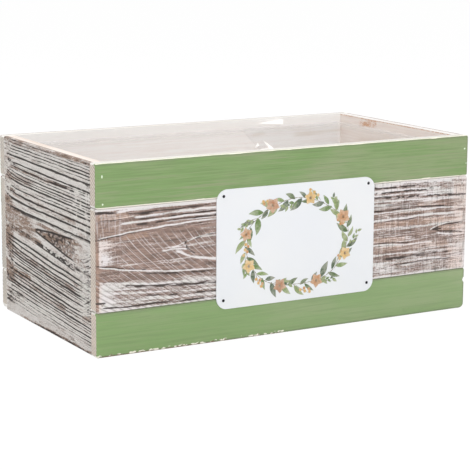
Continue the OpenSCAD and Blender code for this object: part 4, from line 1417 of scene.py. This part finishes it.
def ring_of_sprigs(leaves, dice):
    """Leaves, twigs, berries and blossoms along an oval, as a list of leaf grids in mm
    from the middle of the sign, each with its colours and how strongly its rib shows."""
    greens = np.array(((78, 104, 52), (102, 132, 66), (128, 152, 84), (70, 92, 66), (140, 156, 98)))
    half_x, half_z = 49.0, 35.5
    grids = []

    def oval(angle, swell=1.0):
        return np.stack((half_x * swell * np.cos(angle), half_z * swell * np.sin(angle)), -1)

    def tangent(angle):
        return np.arctan2(half_z * np.cos(angle), -half_x * np.sin(angle))

    def round_of(count):
        return np.linspace(0, 2 * np.pi, count + 1)[:-1]

    def add(base, heading, length, width, bend, colour, ribbed=1.0):
        grids.append((blades(base, heading, length, width, bend), colour, ribbed))

    # The vine: thin links round the oval
    link = round_of(64)
    starts = oval(link, 1 + 0.025 * np.sin(5 * link))
    ends = oval(link + link[1] * 1.15, 1 + 0.025 * np.sin(5 * (link + link[1])))
    across = ends - starts
    add(starts, np.arctan2(across[:, 1], across[:, 0]), np.hypot(*across.T), 0.3, 0.0, (120, 104, 74))

    # Leaves in pairs, out of the vine and into the ring
    angle = round_of(leaves) + dice.normal(0, 0.02, leaves)
    outward = np.where(np.arange(leaves) % 2 == 0, -1.0, 1.0)
    length = dice.uniform(9, 14.5, leaves)
    add(oval(angle), tangent(angle) + outward * dice.uniform(0.55, 1.0, leaves), length,
        length * dice.uniform(0.14, 0.21, leaves), -outward * dice.uniform(0.2, 0.7, leaves),
        greens[dice.integers(0, 5, leaves)])

    # Twigs with small leaves on both sides or with berries
    share = np.linspace(0.25, 0.95, 6)
    sides = np.where(np.arange(6) % 2 == 0, 1.0, -1.0)
    for number, at in enumerate(np.linspace(0.2, 2 * np.pi + 0.2, 15)[:-1]):
        outside = -1.0 if number % 3 else 1.0
        heading = tangent(at) + outside * dice.uniform(0.5, 0.8)
        reach = dice.uniform(13, 18)
        root = oval(at)
        add(root, heading, reach, 0.28, outside * -0.3, (126, 116, 84))
        turned = heading - outside * 0.3 * share
        spots = root + np.stack((np.cos(turned), np.sin(turned)), -1) * (reach * share)[:, None]
        if number % 2:
            small = dice.uniform(3.6, 5.6, 6)
            hues = greens[dice.integers(1, 5, 6)]
            add(spots, turned + sides * 0.75, small, small * 0.24, sides * -0.3, hues)
            continue
        for spot, side, hue in zip(spots[1:], sides[1:], ((214, 168, 92), (196, 138, 80)) * 3):
            middle = spot + side * 1.2 * np.array((-np.sin(heading), np.cos(heading)))
            add(middle, round_of(6), 1.5, 0.9, 0.0, hue, 0.2)

    # Blossoms of five petals with a brown heart
    for number, at in enumerate(np.radians((28, 76, 118, 163, 205, 251, 292, 338))):
        hue = np.array(((198, 142, 98), (222, 180, 112), (186, 128, 92))[number % 3])
        middle = oval(at, 1.02)
        turns = round_of(5) + dice.uniform(0, 1)
        size = dice.uniform(5.6, 7.4)
        add(middle, turns, size, size * 0.4, 0.0, hue + dice.integers(-8, 9, (5, 1)), 0.5)
        add(middle, round_of(6), 1.6, 0.7, 0.0, (128, 92, 56), 0.2)
    return grids


class PLANTER_OT_sign(Operator):
    """Enamels the sign and prints a ring of sprigs on it"""
    bl_idname = "planter.sign"
    bl_label = "Tin sign"

    def execute(self, context):
        sign = context.scene.planter_sign
        finish = Finish("sign_enamel")
        spot = finish.place()
        orange_peel = finish.lumps(spot, (6, 6, 6), 2)
        cloud = finish.lumps(spot, (60, 60, 60), 2)
        shade = finish.mix(cloud.step(0.3, 0.7), tuple(sign.enamel), tint(232, 234, 238))
        dress("tin_sign", finish.surface(
            Base_Color=shade, Roughness=0.32 + 0.06 * orange_peel,
            Normal=finish.bump(orange_peel, 0.08, 0.0006)))

        # The print: grids just in front of the enamel, each a little nearer than the last
        low, high = node_box("tin_sign")
        skins = []
        sprigs = ring_of_sprigs(sign.leaves, np.random.default_rng(7))
        for layer, (grid, colour, ribbed) in enumerate(sprigs):
            x, z = grid[..., 0] + (low[0] + high[0]) / 2, grid[..., 1] + (low[2] + high[2]) / 2
            lift = 0.02 + 0.002 * layer + 0.001 * np.arange(len(grid))[:, None, None]
            points = np.stack((x, low[1] - lift + 0 * x, z), -1)
            faces = grid_faces(np.arange(x.size).reshape(x.shape)).reshape(-1, 4)
            rib = np.linspace(0, 1, x.shape[1])[:, None]
            side = np.abs(np.linspace(-1, 1, x.shape[2]))
            marks = np.zeros((*x.shape, 8))
            marks[..., :3] = np.array([tint(*row) for row in np.atleast_2d(colour)])[:, None, None]
            marks[..., 3] = 1
            marks[..., 4] = (1 - smooth(0.0, 0.5, side)) * (1 - rib) * ribbed
            marks[..., 5] = smooth(0.5, 1.0, side) * ribbed
            marks[..., 6] = rib
            skins.append((points.reshape(-1, 3), (faces,), marks.reshape(-1, 8)))
        points, faces, marks = joined(skins)
        ring = new_piece(
            "printed_sprig_ring", points * MM, faces, [finish_for("printed_inks", print_finish)])
        colour_points(ring, "ink", marks[:, :4])
        colour_points(ring, "grain", marks[:, 4:])
        seat(ring, "sign_enamel")
        return {"FINISHED"}


class PLANTER_OT_fixings(Operator):
    """Gives the tacks and brads their steel, painted over on the green boards"""
    bl_idname = "planter.fixings"
    bl_label = "Tacks and brads"

    def execute(self, context):
        def steel(name, colour, other, metal, rough):
            finish = Finish(name)
            spot = finish.place()
            stain = finish.lumps(spot, (0.7, 0.7, 0.7), 3)
            shade = finish.mix(stain.step(0.35, 0.7), colour, other)
            return finish.surface(
                Base_Color=shade, Metallic=metal, Roughness=rough + 0.3 * stain,
                Normal=finish.bump(stain, 0.2, 0.0002))

        dress("sign_tacks", steel("black_tack_steel", tint(26, 27, 32), tint(48, 46, 50), 0.7, 0.3))
        painted = steel("painted_brad_heads", tint(138, 165, 113), tint(150, 172, 124), 0.0, 0.4)
        plain = steel("plain_brad_steel", tint(196, 188, 182), tint(150, 138, 130), 0.6, 0.4)
        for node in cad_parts:
            if node.endswith("_brads"):
                green = node in ("front_top_brads", "front_bottom_brads", "front_floor_brads")
                dress(node, painted if green else plain)
        return {"FINISHED"}


# The studio camera: sensor width in mm, and in pixels of the photograph the side of the
# frame, the focal length and how far its middle lies off the lens axis both ways
SENSOR = 36.0
FRAME_SIDE = 470
FOCAL_LENGTH = 1621.1
OFF_AXIS = 35

# Where it stands, in metres, and its directions ahead and to the right
CAMERA_PLACE = (-0.6860, -1.1791, 0.3312)
CAMERA_AHEAD = (0.4770, 0.8621, -0.1713)
CAMERA_RIGHT = (0.8752, -0.4838, 0.0021)

# The round studio floor: its radius in metres and the points of its rim
FLOOR_RADIUS = 6
FLOOR_POINTS = 96


def add_lamp(scene, name, place, aim, size, power):
    """A soft rectangular lamp of this size at a place, turned to shine at its aim."""
    light = bpy.data.lights.new(name, "AREA")
    light.shape = "RECTANGLE"
    light.size, light.size_y = size
    light.energy = power
    lamp = bpy.data.objects.new(name, light)
    turn = (Vector(aim) - Vector(place)).to_track_quat("-Z", "Y").to_matrix().to_4x4()
    lamp.matrix_world = Matrix.Translation(place) @ turn
    scene.collection.objects.link(lamp)


def add_camera(scene):
    """The photograph's viewpoint and its long lens."""
    lens = bpy.data.cameras.new("studio_camera")
    lens.sensor_width = SENSOR
    lens.lens = SENSOR * FOCAL_LENGTH / FRAME_SIDE
    lens.shift_x, lens.shift_y = OFF_AXIS / FRAME_SIDE, -OFF_AXIS / FRAME_SIDE
    lens.clip_start, lens.clip_end = 0.05, 50
    camera = bpy.data.objects.new("studio_camera", lens)
    forward = Vector(CAMERA_AHEAD).normalized()
    side = Vector(CAMERA_RIGHT)
    side = (side - side.dot(forward) * forward).normalized()
    turn = Matrix((side, side.cross(forward), -forward)).transposed().to_4x4()
    camera.matrix_world = Matrix.Translation(CAMERA_PLACE) @ turn
    scene.collection.objects.link(camera)
    scene.camera = camera


class PLANTER_OT_studio(Operator):
    """Sets the white floor, the soft lamps and the camera"""
    bl_idname = "planter.studio"
    bl_label = "Studio"

    def execute(self, context):
        studio = context.scene.planter_studio
        scene = context.scene
        scene.view_settings.view_transform = "Standard"

        # Surroundings: plain light on the object, pure white to the eye and in reflections
        world = Finish("white_surroundings", worlds=True)
        strength = world.white_rays() * (1.0 - studio.sky) + studio.sky
        scene.world = world.close(
            world.add("Background", None, {"Color": (1, 1, 1), "Strength": strength}), "OutputWorld")

        # Floor: a wide disc that reads white to the camera but keeps a little shadow
        finish = Finish("white_floor")
        dull = finish.add("BsdfDiffuse", None, {"Color": (0.92, 0.92, 0.92)})
        glow = finish.add("Emission", None, {"Color": (1, 1, 1), "Strength": 1.04})
        share = finish.white_rays() * 0.9
        white = finish.close(finish.add("MixShader", None, {0: share, 1: dull, 2: glow}))
        angle = np.linspace(0, 2 * np.pi, FLOOR_POINTS, endpoint=False)
        rim = np.stack((np.cos(angle), np.sin(angle), angle * 0), -1) * FLOOR_RADIUS
        new_piece("studio_floor", rim, [list(range(FLOOR_POINTS))], [white])

        add_lamp(scene, "key_lamp", (-0.1, -1.7, 1.3), (0, 0, 0.06), (1.6, 1.2), studio.key)
        add_lamp(scene, "top_lamp", (-0.5, 0.1, 1.65), (0, 0, 0.1), (1.8, 1.8), studio.key * 1.7)
        add_camera(scene)
        return {"FINISHED"}


class PLANTER_PT_panel(Panel):
    """Sidebar panel with the planter's sizes, colours and steps"""
    bl_idname = "PLANTER_PT_panel"
    bl_label = "Indoor herb planter"
    bl_space_type = "VIEW_3D"
    bl_region_type = "UI"
    bl_category = "Planter"

    def draw(self, context):
        scene = context.scene
        for group in (scene.planter_boards, scene.planter_liner, scene.planter_sign, scene.planter_studio):
            box = self.layout.box()
            for name in group.__annotations__:
                box.prop(group, name)
        for step in STEPS:
            self.layout.operator(step.bl_idname)


STEPS = (
    PLANTER_OT_front_boards, PLANTER_OT_back_boards, PLANTER_OT_side_panels, PLANTER_OT_floor_board,
    PLANTER_OT_liner, PLANTER_OT_sign, PLANTER_OT_fixings, PLANTER_OT_studio,
)
GROUPS = (
    ("planter_boards", PlanterBoards), ("planter_liner", PlanterLiner),
    ("planter_sign", PlanterSign), ("planter_studio", PlanterStudio),
)


def register():
    for name, group in GROUPS:
        bpy.utils.register_class(group)
        setattr(bpy.types.Scene, name, PointerProperty(type=group))
    for kind in (*STEPS, PLANTER_PT_panel):
        bpy.utils.register_class(kind)


def unregister():
    for kind in (PLANTER_PT_panel, *reversed(STEPS)):
        bpy.utils.unregister_class(kind)
    for name, group in reversed(GROUPS):
        delattr(bpy.types.Scene, name)
        bpy.utils.unregister_class(group)


def main():
    """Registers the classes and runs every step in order."""
    register()
    for step in STEPS:
        group, name = step.bl_idname.split(".")
        getattr(getattr(bpy.ops, group), name)()


if __name__ == "__main__":
    main()
